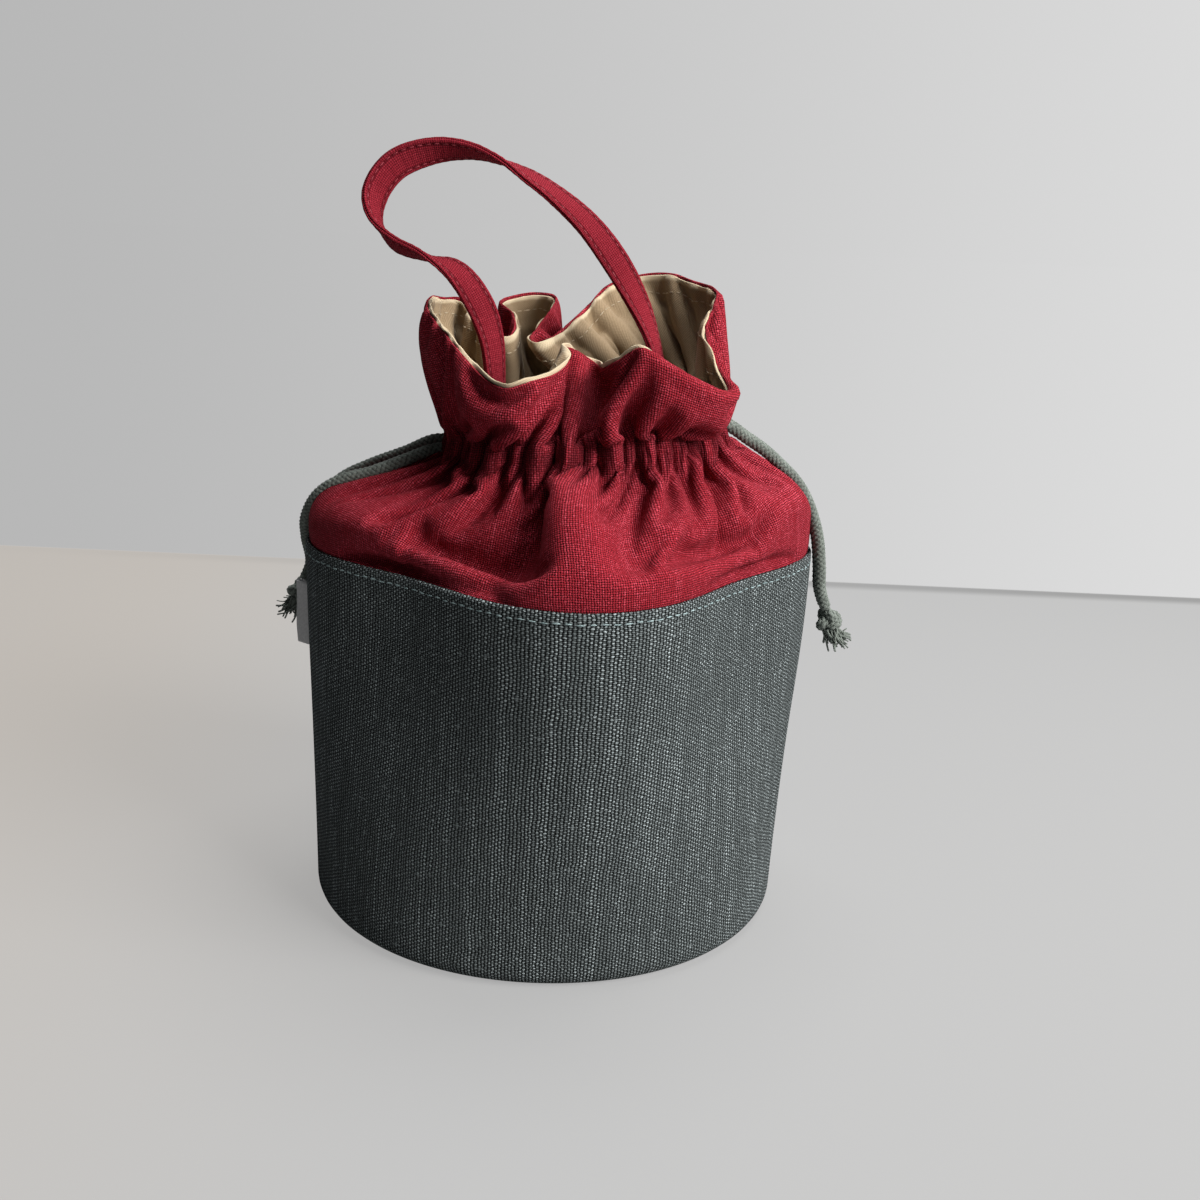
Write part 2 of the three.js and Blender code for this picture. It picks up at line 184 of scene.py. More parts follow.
def body_point(w, z, inset):
    """The bucket at a share w of the way round from the right seam."""
    angle = 2 * np.pi * np.asarray(w, float)
    rise = smooth(np.asarray(z, float) / BODY_HEIGHT)
    oval = FOOT_OVAL * (1 - rise) * np.cos(2 * angle)
    square = RIM_SQUARE * rise * np.cos(4 * (angle - RIM_TURN))
    radius = BODY_RADIUS * (1 + oval + square) - inset
    x = RIM_LEAN * rise + radius * np.cos(angle)
    return np.stack(np.broadcast_arrays(x, radius * np.sin(angle), z + 0 * angle), -1)


def neck_at(angle, height, radius):
    """A place on a ring of a radius round the leaning neck, by its angle."""
    x = radius * np.cos(angle)
    return np.stack([NECK_SHIFT + x, radius * np.sin(angle), NECK_HEIGHT + NECK_TILT * x + height], -1)


def neck_point(w, height, radius):
    """The same by a share w of the way round from the right seam."""
    return neck_at(2 * np.pi * np.asarray(w, float), height, radius)


def grid_uv(u, v):
    """Cloth coordinates of a grid, from one row and one column of values or from two grids."""
    return np.stack(np.broadcast_arrays(u, v), -1)


# Meshes

def add_mesh(name, points, faces, material, uv=None, closed=True):
    mesh = bpy.data.meshes.new(name)
    points = np.reshape(points, (-1, 3)) * MM
    mesh.from_pydata(points.tolist(), [], faces)
    if uv is not None:
        corner = np.empty(len(mesh.loops), int)
        mesh.loops.foreach_get("vertex_index", corner)
        mesh.uv_layers.new(name="cloth").data.foreach_set("uv", np.reshape(uv, (-1, 2))[corner].ravel())
    if closed:
        work = bmesh.new()
        work.from_mesh(mesh)
        bmesh.ops.recalc_face_normals(work, faces=work.faces)
        work.to_mesh(mesh)
        work.free()
    mesh.polygons.foreach_set("use_smooth", [True] * len(mesh.polygons))
    mesh.materials.append(material)
    piece = bpy.data.objects.new(name, mesh)
    bpy.context.scene.collection.objects.link(piece)
    return piece


def loft(slices, loop=False, flat=False):
    """Faces between closed slices with the same number of points. An end is one flat face, or pairs the
    two sides of its slice; a loop has no ends."""
    n, m = slices.shape[:2]
    i, k = np.meshgrid(np.arange(n if loop else n - 1), np.arange(m), indexing="ij")
    i2, k2 = (i + 1) % n, (k + 1) % m
    faces = np.stack([i * m + k, i2 * m + k, i2 * m + k2, i * m + k2], -1).reshape(-1, 4).tolist()
    if flat:
        faces += [list(range(m))[::-1], list(range((n - 1) * m, n * m))]
    elif not loop:
        for first in (0, (n - 1) * m):
            a, b = 0, m - 1
            while b - a > 1:
                if b - a == 2:
                    faces.append([first + a, first + a + 1, first + b])
                else:
                    faces.append([first + a, first + a + 1, first + b - 1, first + b])
                a, b = a + 1, b - 1
    return faces


def normals(grid, closed=False):
    if closed:
        across = np.roll(grid, -1, 1) - np.roll(grid, 1, 1)
    else:
        across = np.gradient(grid, axis=1)
    return unit(np.cross(across, np.gradient(grid, axis=0)))


def mark(piece, name, values):
    """A value at each corner of a mesh, for its material to read."""
    piece.data.attributes.new(name, "FLOAT", "POINT").data.foreach_set("value", np.ravel(values))


def stand_in(piece, node):
    """The piece takes the place of a node of the part, and moves with the bag."""
    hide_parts(node)
    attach(piece, "root")


def put(name, data, axes, place):
    """An object with its own axes turned to the given ones, at a place."""
    made = bpy.data.objects.new(name, data)
    bpy.context.scene.collection.objects.link(made)
    turned = Matrix.Identity(4)
    for k, axis in enumerate((*axes, place)):
        for row in range(3):
            turned[row][k] = axis[row]
    made.matrix_world = turned
    return made


def shell_piece(name, outer, inner, uv, material):
    """A sheet with a rounded top edge, from rows of outer and inner points."""
    crown = 0.5 * (outer[-1] + inner[-1])
    lift = 0.5 * np.linalg.norm(outer[-1] - inner[-1], axis=1, keepdims=True)
    crown = crown + unit(outer[-1] - outer[-2]) * lift
    profile = np.concatenate([outer, crown[None], inner[::-1]])
    top = uv[-1] + [0, 0.5]
    uvs = np.concatenate([uv, top[None], uv[::-1]])
    slices = profile.transpose(1, 0, 2)
    return add_mesh(name, slices, loft(slices), material, uvs.transpose(1, 0, 2))


# Materials

def function(operation):
    """A method that adds a Math node for one value."""
    return lambda wire: wire.math(operation, wire)


def operator(operation, swapped=False):
    """A method that adds a Math node for two values."""
    def work(wire, other):
        return wire.math(operation, other, wire) if swapped else wire.math(operation, wire, other)
    return work


class Wire:
    """A socket of a material, which Python arithmetic can be done on."""

    __add__, __radd__ = operator("ADD"), operator("ADD", True)
    __sub__, __rsub__ = operator("SUBTRACT"), operator("SUBTRACT", True)
    __mul__, __rmul__ = operator("MULTIPLY"), operator("MULTIPLY", True)
    __truediv__, __rtruediv__ = operator("DIVIDE"), operator("DIVIDE", True)
    above = operator("MAXIMUM")
    floor, size = function("FLOOR"), function("ABSOLUTE")
    sin, cos = function("SINE"), function("COSINE")

    def __init__(self, finish, socket):
        self.finish = finish
        self.socket = socket

    def math(self, operation, *values):
        return self.finish.node("Math", dict(enumerate(values)), operation=operation)

    def between(self, low, high):
        return self.finish.node("MapRange", {0: self, 1: low, 2: high}, interpolation_type="SMOOTHSTEP")


def add_node(tree, kind, sockets=None, **settings):
    """The outputs of a new node, each of its sockets set to a value or fed by another socket."""
    made = tree.nodes.new(kind)
    for key, value in settings.items():
        setattr(made, key, value)
    for key, value in (sockets or {}).items():
        if isinstance(value, bpy.types.NodeSocket):
            tree.links.new(value, made.inputs[key])
        else:
            made.inputs[key].default_value = value
    return made.outputs


class Finish:
    """The nodes of a material, or of the world, under construction."""

    def __init__(self, owner):
        owner.use_nodes = True
        self.owner = owner
        self.tree = owner.node_tree
        self.tree.nodes.clear()

    def node(self, kind, sockets=None, out=0, **settings):
        fed = {key: getattr(value, "socket", value) for key, value in (sockets or {}).items()}
        outputs = add_node(self.tree, "ShaderNode" + kind, fed, **settings)
        return Wire(self, outputs[out]) if outputs else None

    def mix(self, share, a, b):
        return self.node("Mix", {0: share, 6: a, 7: b}, out=2, data_type="RGBA", clamp_factor=True)

    def vector(self, x, y, z=0.0):
        return self.node("CombineXYZ", {0: x, 1: y, 2: z})

    def x_and_y(self, vector):
        return [self.node("SeparateXYZ", {0: vector}, out=k) for k in (0, 1)]

    def cloth_uv(self):
        return self.x_and_y(self.node("UVMap", uv_map="cloth"))

    def noise(self, x, y, scale, detail, rough=0.5, z=0.0):
        return self.node("TexNoise", {
            "Vector": self.vector(x, y, z), "Scale": scale, "Detail": detail, "Roughness": rough})

    def chance(self, x, y):
        return self.node("TexWhiteNoise", {"Vector": self.vector(x, y)}, noise_dimensions="2D")

    def marked(self, name):
        return self.node("Attribute", out=2, attribute_name=name)

    def bump(self, height, depth, strength):
        return self.node("Bump", {"Strength": strength, "Distance": depth * MM, "Height": height})

    def camera_ray(self):
        return self.node("LightPath", out=0)

    def surface(self, **sockets):
        shader = self.node("BsdfPrincipled", {k.replace("_", " "): v for k, v in sockets.items()})
        self.node("OutputMaterial", {0: shader})
        return self.owner


def cloth_finish(name):
    """A new material, and the cloth coordinates that it reads, in millimetres."""
    finish = Finish(bpy.data.materials.new(name))
    return finish, *finish.cloth_uv()


def grey(v):
    return (v, v, v, 1)


def tone(r, g, b):
    return (r, g, b, 1)


def woven(finish, u, v, pitch, tight, wander, lead):
    """A plain weave: its height, the warp and weft thread at a place, and which of them is on top."""
    drift = finish.noise(u, v, 0.09, 1.0)
    fine = finish.noise(u, v, 0.55 / pitch, 2.0, 0.6, z=7.0)
    other = finish.noise(u, v, 0.55 / pitch, 2.0, 0.6, z=17.0)
    x = (u + (drift - 0.5) * wander + (fine - 0.5) * (0.8 * pitch)) / pitch
    y = (v + (drift - 0.5) * wander + (other - 0.5) * (1.1 * pitch * tight)) / (pitch * tight)
    column, row = x.floor(), y.floor()
    warp = ((x - column - 0.5) * math.pi).cos() * 0.6 + ((y + column) * math.pi).sin() * 0.4
    weft = ((y - row - 0.5) * math.pi).cos() * 0.6 - ((x + row) * math.pi).sin() * 0.4 - lead
    return warp.above(weft), column, row, (warp - weft).between(-0.08, 0.08)


def plain_cloth(name, pitch, tight, wander, lead, colours, depth, streak, flecks):
    """A plain woven cloth: painted shade between its threads and a painted highlight on their crowns, with
    threads of uneven tone and pale flecks.
    """
    finish, u, v = cloth_finish(name)
    height, column, row, on_top = woven(finish, u, v, pitch, tight, wander, lead)
    dark, middle, pale = colours
    long_way = 0.045 / pitch
    warp_tone = finish.noise(column * 5.3, v * long_way, 1.0, 2.0, 0.6, z=3.0)
    warp_tone = warp_tone + finish.chance(column, 3.0) * 0.3
    weft_tone = finish.noise(u * long_way, row * 5.3, 1.0, 2.0, 0.6, z=9.0) * 0.6
    weft_tone = weft_tone + finish.chance(5.0, row) * 0.2 + 0.25
    yarn = weft_tone + (warp_tone - weft_tone) * on_top - 0.65
    lump = finish.chance(column, row)
    worn = finish.noise(u, v, 0.025, 3.0, 0.6, z=5.0)
    bands = finish.noise(u * 0.4, v * 0.02, 1.0, 3.0, 0.65, z=31.0) - 0.5
    # Painted shade: the low places between the threads take the first, near-black colour.
    body = finish.mix(height.between(0.3, 0.85), dark, middle)
    # Painted highlight: the pale colour on the high crowns of the threads, spread by uneven yarn tone,
    # bands, wear and lumps.
    light = yarn * streak + bands * (0.7 * streak) + (worn - 0.5) * 0.7 + (lump - 0.5) * 0.5 + 0.3
    light = light * height.between(0.45, 0.95)
    body = finish.mix(light.between(0.0, 1.0), body, pale)
    body = finish.mix(lump.between(0.988, 0.998) * flecks, body, pale)
    fuzz = finish.noise(u, v, 2.4 / pitch, 2.0, 0.6, z=23.0)
    # Painted shade in creases: noise creases, where a piece marks its gathered cloth, are darkened and sunk
    # by the bump.
    fold = finish.noise(u * 0.2, v * 0.035, 1.0, 2.0, 0.5, z=41.0) - 0.5
    shaded_crease = (fold.size() * 7.0).between(1.0, 0.0) * finish.marked("crease_shade_zone")
    # Painted shade in grooves: where a piece marks grooves, as the strap does at its sunk stitch lines and
    # between its plies, the cloth is darkened.
    groove = finish.marked("groove").between(0.3, 0.9)
    body = finish.mix((shaded_crease * 0.75).above(groove * 0.85), body, dark)
    relief = height + yarn * 0.5 + (fuzz - 0.5) * 0.4 - shaded_crease * 3.0
    return finish.surface(Base_Color=body, Roughness=0.92, Normal=finish.bump(relief, depth, 1.0),
                          Specular_IOR_Level=0.12)


def twill_cloth(name):
    finish, u, v = cloth_finish(name)
    wob = finish.noise(u, v, 0.12, 2.0)
    rib = ((u + v * 0.9 + (wob - 0.5) * 1.2) * (2 * math.pi / 0.8)).sin()
    yarn = ((u - v * 1.1) * (2 * math.pi / 0.6)).sin()
    stain = finish.noise(u, v, 0.035, 3.0, 0.6)
    grain = finish.noise(u, v, 1.6, 2.0, 0.6, z=4.0)
    level = rib * 0.26 + yarn * 0.12 + (grain - 0.5) * 0.6
    colour = finish.mix(level.between(-0.6, 0.6), tone(0.21, 0.146, 0.082), tone(0.37, 0.272, 0.168))
    colour = finish.mix(stain.between(0.35, 0.7) * 0.35, colour, tone(0.26, 0.19, 0.12))
    # Painted highlight along the lining's top edge at the mouth: the last two millimetres are paler.
    colour = finish.mix(v.between(-2.0, -0.6) * 0.8, colour, tone(0.66, 0.54, 0.37))
    return finish.surface(Base_Color=colour, Roughness=0.9, Normal=finish.bump(level, 0.14, 0.8),
                          Sheen_Weight=0.1, Specular_IOR_Level=0.15)


def braid_cotton(name):
    """Cotton yarns of the cords: u runs round the cord and v along it."""
    finish, u, v = cloth_finish(name)
    yarn = finish.noise(u * 2.0, v * 2.0, 1.2, 3.0, 0.7)
    patch = finish.noise(u * 0.4, v * 0.4, 0.5, 2.0, z=6.0)
    level = (yarn - 0.5) * 1.0 + (patch - 0.5) * 0.8
    colour = finish.mix(level.between(-0.4, 0.45), tone(0.11, 0.125, 0.11), tone(0.27, 0.305, 0.275))
    # Painted shade: the dips where strands pass under each other are darkened nearly to black.
    groove = finish.marked("groove").between(0.35, 0.95)
    colour = finish.mix(groove * 0.8, colour, tone(0.03, 0.036, 0.032))
    return finish.surface(Base_Color=colour, Roughness=0.95, Normal=finish.bump(yarn, 0.25, 0.7),
                          Sheen_Weight=0.15, Specular_IOR_Level=0.1)


def ribbon_weave(name):
    finish, u, v = cloth_finish(name)
    rib = (v * (2 * math.pi / 0.5)).sin()
    level = rib * 0.25 + (finish.noise(u, v, 0.9, 2.0) - 0.5)
    colour = finish.mix(level.between(-0.5, 0.5), grey(0.5), tone(0.72, 0.71, 0.72))
    return finish.surface(Base_Color=colour, Roughness=0.7, Normal=finish.bump(level, 0.1, 0.6),
                          Specular_IOR_Level=0.25)


def thread(name, dark, pale):
    finish = Finish(bpy.data.materials.new(name))
    spot = finish.node("TexCoord", out=3)
    grain = finish.node("TexNoise", {"Vector": spot, "Scale": 900.0, "Detail": 2.0})
    return finish.surface(Base_Color=finish.mix(grain.between(0.3, 0.7), dark, pale), Roughness=0.6,
                          Specular_IOR_Level=0.3)


# Each cloth's colours: painted shade between the threads, the colour of the threads, and a pale for uneven
# yarns and flecks that also paints highlights on the thread crowns.
canvas = plain_cloth(
    "slate_canvas", pitch=1.15, tight=0.56, wander=1.2, lead=0.3, depth=0.5, streak=1.8, flecks=0.3,
    colours=[tone(0.004, 0.005, 0.005), tone(0.185, 0.212, 0.216), tone(0.47, 0.535, 0.55)])
linen = plain_cloth(
    "crimson_linen", pitch=0.75, tight=0.9, wander=0.7, lead=0.0, depth=0.3, streak=1.1, flecks=0.1,
    colours=[tone(0.04, 0.001, 0.003), tone(0.335, 0.018, 0.031), tone(0.7, 0.095, 0.14)])
strap_linen = plain_cloth(
    "strap_linen", pitch=0.75, tight=0.9, wander=0.5, lead=0.0, depth=0.1, streak=0.7, flecks=0.1,
    colours=[tone(0.10, 0.004, 0.009), tone(0.25, 0.015, 0.027), tone(0.37, 0.035, 0.055)])
twill = twill_cloth("khaki_twill")
braid = braid_cotton("cord_cotton")
ribbon = ribbon_weave("label_ribbon")
blue_thread = thread("blue_grey_thread", tone(0.17, 0.23, 0.24), tone(0.36, 0.46, 0.47))
red_thread = thread("crimson_thread", tone(0.16, 0.012, 0.02), tone(0.36, 0.05, 0.07))
beige_thread = thread("beige_thread", tone(0.36, 0.285, 0.19), tone(0.55, 0.455, 0.33))


# Camera

CAMERA_PLACE = (16.5, -417.3, 231.6)
CAMERA_PITCH = math.radians(16.53)
CAMERA_ROLL = math.radians(2.53)


def place_camera():
    data = bpy.data.cameras.new("camera")
    data.sensor_width = 36.0
    data.lens = 36.9
    data.clip_start = 0.01
    ahead = np.array([0, math.cos(CAMERA_PITCH), -math.sin(CAMERA_PITCH)])
    level = np.array([1.0, 0, 0])
    rise = np.cross(level, ahead)
    right = math.cos(CAMERA_ROLL) * level + math.sin(CAMERA_ROLL) * rise
    up = math.cos(CAMERA_ROLL) * rise - math.sin(CAMERA_ROLL) * level
    bpy.context.scene.camera = put("camera", data, (right, up, -ahead), np.array(CAMERA_PLACE) * MM)


place_camera()


# Cords

BRAID_STRANDS = 5
BRAID_PITCH = 1.75
BRAID_RELIEF = 0.42
BRAID_SIDES = 28
BRAID_STEP = 0.3
LOOP_SIDES = 14
LOOP_STEP = 0.7
TIP_SIZE = 0.15
KNOT_RADIUS = 1.85
KNOT_RELIEF = 0.26
KNOT_POINTS = 360
KNOT_DROP = 4.0
FRAYED_YARNS = 58
YARN_POINTS = 11
YARN_TAPER = 0.75


def from_rim(side, place):
    rim = body_point(0.0 if side > 0 else 0.5, BODY_HEIGHT, 0.0)
    return np.array([rim[0] + side * place[0], place[1], BODY_HEIGHT + place[2]])


def tail_points(side, lift, places, knot):
    """Out of the end of the loop, through the slot in the seam, over the shoulder and into the knot."""
    hand = math.copysign(1, places[0][1])
    seam = 0.0 if side > 0 else math.pi
    start = math.radians(LOOP_GAP) - SEAM_GAP / LOOP_RADIUS
    points = [neck_at(seam + side * hand * turn, lift, LOOP_RADIUS)
              for turn in (start, start - SEAM_GAP / LOOP_RADIUS)]
    for out, along in SLOT_ROUTE:
        point = neck_at(seam, lift, LOOP_RADIUS + out * CORD_PITCH)
        point[1] = hand * along * CORD_PITCH
        points.append(point)
    reach = from_rim(side, [0, 0, 0])[0] - (NECK_SHIFT + side * NECK_RADIUS)
    climb = NECK_RISE + side * NECK_TILT * NECK_RADIUS + lift
    for inward, along, rise in places:
        points.append(from_rim(side, [CORD / 2 - inward * side * reach, along * CORD_PITCH,
                                      CORD / 2 + rise * climb]))
    end = from_rim(side, knot[0])
    axis = unit(from_rim(side, knot[1]) - end)
    end = end - axis * SEAM_GAP + [0, hand * CORD_PITCH / 2, 0]
    return points + [end - axis * 2 * CORD, end]


def tube_frames(line):
    """Two directions across a line, carried along it without twist."""
    along = unit(np.gradient(line, axis=0))
    first = np.cross(along[0], [0, 0, 1.0] if abs(along[0][2]) < 0.9 else [1.0, 0, 0])
    sides = [unit(first)]
    for t in along[1:]:
        sides.append(unit(sides[-1] - t * np.dot(sides[-1], t)))
    sides = np.array(sides)
    return sides, np.cross(along, sides)


def loop_frames(line):
    """Two directions across a closed line, set by the way to its middle."""
    ahead = unit(np.roll(line, -1, 0) - np.roll(line, 1, 0))
    a = unit(np.cross(ahead, line - line.mean(0)))
    return a, np.cross(ahead, a)


def tube_parts(line, radius, sides, swell, loop=False):
    """Points, faces and cloth coordinates of a tube, its radius times a swell for each place."""
    a, b = loop_frames(line) if loop else tube_frames(line)
    angle = 2 * np.pi * np.arange(sides) / sides
    ring = np.cos(angle)[:, None] * a[:, None] + np.sin(angle)[:, None] * b[:, None]
    slices = line[:, None] + ring * (radius * swell)[:, :, None]
    uv = grid_uv(angle * radius, running(line)[:, None])
    return slices.reshape(-1, 3), loft(slices, loop=loop), uv.reshape(-1, 2)


def braid_height(sides, s):
    """Relief of a round braid: each strand dips under the strands that wind the other way."""
    turn = np.arange(sides) / sides
    p = turn * BRAID_STRANDS + s[:, None] / BRAID_PITCH
    q = turn * BRAID_STRANDS - s[:, None] / BRAID_PITCH
    i, j = np.floor(p), np.floor(q)
    over = (i + j) % 2 < 1
    across = np.where(over, q - j, p - i) - 0.5
    along = np.where(over, p - i, q - j) - 0.5
    return np.cos(math.pi * across) * (0.55 + 0.45 * np.cos(math.pi * along))


def braided_tube(name, line, sides=BRAID_SIDES, step=BRAID_STEP):
    line = even(line, max(8, int(running(line)[-1] / step)))
    s = running(line)
    radius = CORD / 2
    ease = np.clip(np.minimum(s, s[-1] - s) / radius, 0, 1)
    cap = np.sqrt(1 - (1 - ease) ** 2)
    height = braid_height(sides, s)
    swell = (1 + BRAID_RELIEF / radius * (height - 0.72)) * np.maximum(cap, TIP_SIZE)[:, None]
    points, faces, uv = tube_parts(line, radius, sides, swell)
    piece = add_mesh(name, points, faces, braid, uv)
    # Dips between the strands, for the painted shade of the material.
    mark(piece, "groove", 1 - height)
    return piece, line


def trefoil(count):
    t = np.linspace(0, 2 * np.pi, count, endpoint=False)
    return np.sin(t) + 2 * np.sin(2 * t), np.cos(t) - 2 * np.cos(2 * t), -np.sin(3 * t)


def joined(name, parts, material):
    """Several lists of points, faces and cloth coordinates as one mesh."""
    faces, base = [], 0
    for points, part_faces, _ in parts:
        faces += [[base + k for k in face] for face in part_faces]
        base += len(points)
    return add_mesh(name, np.concatenate([part[0] for part in parts]), faces, material,
                    np.concatenate([part[2] for part in parts]))


def knot_piece(name, side, knot, seed):
    """Both tails tied in one overhand knot, with two short frayed ends below it."""
    rng = np.random.default_rng(seed)
    top, tip = from_rim(side, knot[0]), from_rim(side, knot[1])
    axis = unit(tip - top)
    across = unit(np.cross(axis, [0, 1.0, 0.2]))
    depth = np.cross(axis, across)
    middle = top + axis * KNOT_DROP
    x, y, z = (part[:, None] for part in trefoil(220))
    line = middle + (x * across * 1.05 + y * axis * 0.98 + z * depth * 2.2)
    line = even(np.concatenate([line, line[:1]]), KNOT_POINTS + 1)[:-1]
    relief = braid_height(BRAID_SIDES, running(line))
    parts = [tube_parts(line, KNOT_RADIUS, BRAID_SIDES, 1 + KNOT_RELIEF * (relief - 0.7), loop=True)]
    # Dips between the strands of the knot, for painted shade.
    grooves = [1 - relief.ravel()]
    t = np.linspace(0, 1, YARN_POINTS)[:, None]
    thinned = np.linspace(1, YARN_TAPER, YARN_POINTS)[:, None]
    for hand in (-1, 1):
        root = middle + axis * 2.4 + depth * hand * 1.4
        for _ in range(FRAYED_YARNS):
            lean = rng.normal(0, 0.3, 2)
            length = rng.uniform(3.8, 7.4)
            spot = root + across * rng.normal(0, 1.0) + depth * rng.normal(0, 1.0)
            bend = across * (lean[0] + 0.2 * side) + depth * (lean[1] + hand * 0.18)
            sway = rng.normal(0, 0.55, 3) * t * np.sin(t * 8 + lean[0] * 12)
            yarn = spot + axis * t * length + bend * length * t ** 1.6 + sway
            parts.append(tube_parts(yarn, rng.uniform(0.24, 0.48), 5, thinned))
            # Each frayed yarn gets one small random value, which darkens it a little at random.
            grooves.append(np.full(len(parts[-1][0]), rng.uniform(0.0, 0.4)))
    piece = joined(name, parts, braid)
    mark(piece, "groove", np.concatenate(grooves))
    return piece


def hang_cords():
    for side, word, knot, tails in (
            (-1, "left", LEFT_KNOT, (LEFT_FRONT_TAIL, LEFT_BACK_TAIL)),
            (1, "right", RIGHT_KNOT, (RIGHT_FRONT_TAIL, RIGHT_BACK_TAIL))):
        lift = side * CORD_PITCH / 2
        seam = 0.0 if side > 0 else 180.0
        angles = np.radians(seam + np.linspace(LOOP_GAP, 360 - LOOP_GAP, 120))
        ring = neck_at(angles, lift, LOOP_RADIUS)
        loop, _ = braided_tube(f"cord_{word}_loop", ring, LOOP_SIDES, LOOP_STEP)
        stand_in(loop, f"drawcord_{word}_loop")
        tied = knot_piece(f"cord_{word}_knot", side, knot, 3 + side)
        stand_in(tied, f"drawcord_{word}_knot")
        for place, points in zip(("front", "back"), tails):
            line = curve(tail_points(side, lift, points, knot), 24)
            piece, path = braided_tube(f"cord_{word}_{place}", line)
            stand_in(piece, f"drawcord_{word}_tail_{place}")


hang_cords()


# Bucket

# The two halves of the bag, and the share of the way round from the right seam where each begins
HALVES = (("back", 0.0), ("front", 0.5))
PANEL_COLUMNS = 180
PANEL_GAP = 0.0003
RIM_ROUND = 0.8
SEAM_DEPTH = 0.9
SEAM_REACH = 2.4
DISC_COLUMNS = 120
DISC_RINGS = 14
DISC_HOLE = 0.002


def seam_dip(w):
    """How far a panel turns in at the side seams, in millimetres."""
    part = w % 0.5
    gap = np.minimum(part, 0.5 - part) * 2 * np.pi * BODY_RADIUS
    return SEAM_DEPTH * (1 - smooth(gap / SEAM_REACH))


def body_panel(name, node, first):
    w = np.linspace(first + PANEL_GAP, first + 0.5 - PANEL_GAP, PANEL_COLUMNS)
    dip = seam_dip(w)
    outer, heights = [], []
    for turn in np.radians(np.linspace(0, 90, 8)):
        inset = FOOT_ROUND * (1 - math.sin(turn))
        outer.append(body_point(w, FOOT_ROUND * (1 - math.cos(turn)), inset + dip))
        heights.append(FOOT_ROUND * (turn - math.pi / 2 + 1))
    wave = 0.35 * np.sin(2 * np.pi * w * 9 + 1.0) + 0.3 * np.sin(2 * np.pi * w * 5 + 2.0)
    top = BODY_HEIGHT - RIM_ROUND
    for z in np.linspace(FOOT_ROUND, top, 50)[1:]:
        ripple = wave * np.sin(math.pi * z / BODY_HEIGHT) * (0.6 + 0.4 * np.sin(z * 0.06 + w * 20))
        outer.append(body_point(w, z, dip - ripple))
        heights.append(z)
    for turn in np.radians([30, 60]):
        inset = RIM_ROUND * (1 - math.cos(turn))
        outer.append(body_point(w, top + RIM_ROUND * math.sin(turn), inset + dip))
        heights.append(top + RIM_ROUND * turn)
    inner = [body_point(w, max(row[0, 2], CANVAS), CANVAS + max(0.0, FOOT_ROUND - z) + dip)
             for row, z in zip(outer, heights)]
    inner[-2] = body_point(w, BODY_HEIGHT - 0.5, CANVAS + dip)
    inner[-1] = body_point(w, BODY_HEIGHT - 0.2, CANVAS - 0.3 + dip)
    uv = grid_uv(w * 2 * math.pi * BODY_RADIUS, np.array(heights)[:, None])
    piece = shell_piece(name, np.array(outer), np.array(inner), uv, canvas)
    stand_in(piece, node)


def disc_piece(name, node, bottom, thickness, material):
    edge = body_point(np.arange(DISC_COLUMNS) / DISC_COLUMNS, 0.0, FOOT_ROUND + SEAM_GAP)
    rows = [edge * max(r, DISC_HOLE) / DISC_RINGS + [0, 0, bottom] for r in range(DISC_RINGS + 1)]
    rows += [row + [0, 0, thickness] for row in rows[::-1]]
    slices = np.array(rows)
    piece = add_mesh(name, slices, loft(slices, flat=True), material, slices[:, :, :2])
    stand_in(piece, node)


for word, first in HALVES:
    body_panel(f"panel_{word}", f"body_{word}", first)
disc_piece("panel_base", "base_panel", 0.0, CANVAS, canvas)
disc_piece("lining_floor", "lining_base", CANVAS + SEAM_GAP, TWILL, twill)


# Collar: cut as a tube, gathered into pleats at the casing, and let settle

ROUND = 512
FINE = 2048
SHOULDER_ROWS = 30
CASING_ROWS = 2
RUFFLE_ROWS = 24
RUFFLE_CUT = 33.0
PINCH = 1.4
CASING_OUT = 1.2
PINCH_REACH = 2.2
SHOULDER_EASE = 1.08
SHOULDER_ROOM = 1.12
PLEATS = 40
PLEAT_WIDTHS = (0.55, 1.6)
PLEAT_START = 2.0
PLEAT_LIMIT = 6.0
PLEAT_ROUNDS = 40
VALLEY = 0.55
RIM_INSET = CANVAS + SEAM_GAP + LINEN / 2
CASING_TOP = SHOULDER_ROWS + CASING_ROWS
ROWS = SHOULDER_ROWS + CASING_ROWS + RUFFLE_ROWS + 1
OVERHANG = 1.6
SLOT_SHIFT = 6.8
SLOT_REACH = 9.0
SLOT_ROWS = 3.2

# How the cloth settles: its weight and the press from inside, in millimetres a round, and its stiffness
SETTLE_ROUNDS = 400
WEIGHT = 0.002
RUFFLE_WEIGHT = 0.25
PRESS = 0.0015
CARRY = 0.9
LONGEST_MOVE = 0.5
SHOULDER_BEND = 0.15
RUFFLE_BEND = 0.8
SHEAR = 0.125
APART = 2.0
APART_EVERY = 10

# Ridges and hollows of the shoulder: share of the way round, lean, level, width, height and push
FOLDS = [
    [0.755, -0.03, 0.50, 0.018, 0.28, 0.008], [0.712, 0.02, 0.35, 0.012, 0.35, -0.013],
    [0.80, -0.03, 0.40, 0.010, 0.25, -0.005], [0.66, 0.0, 0.12, 0.04, 0.10, 0.002],
    [0.66, 0.0, 0.34, 0.04, 0.08, -0.008], [0.84, 0.0, 0.12, 0.04, 0.10, 0.002],
    [0.88, 0.0, 0.34, 0.05, 0.08, -0.008], [0.50, 0.0, 0.20, 0.08, 0.22, 0.010],
    [0.0, 0.0, 0.30, 0.06, 0.25, 0.006], [0.25, 0.0, 0.30, 0.12, 0.25, 0.004],
]


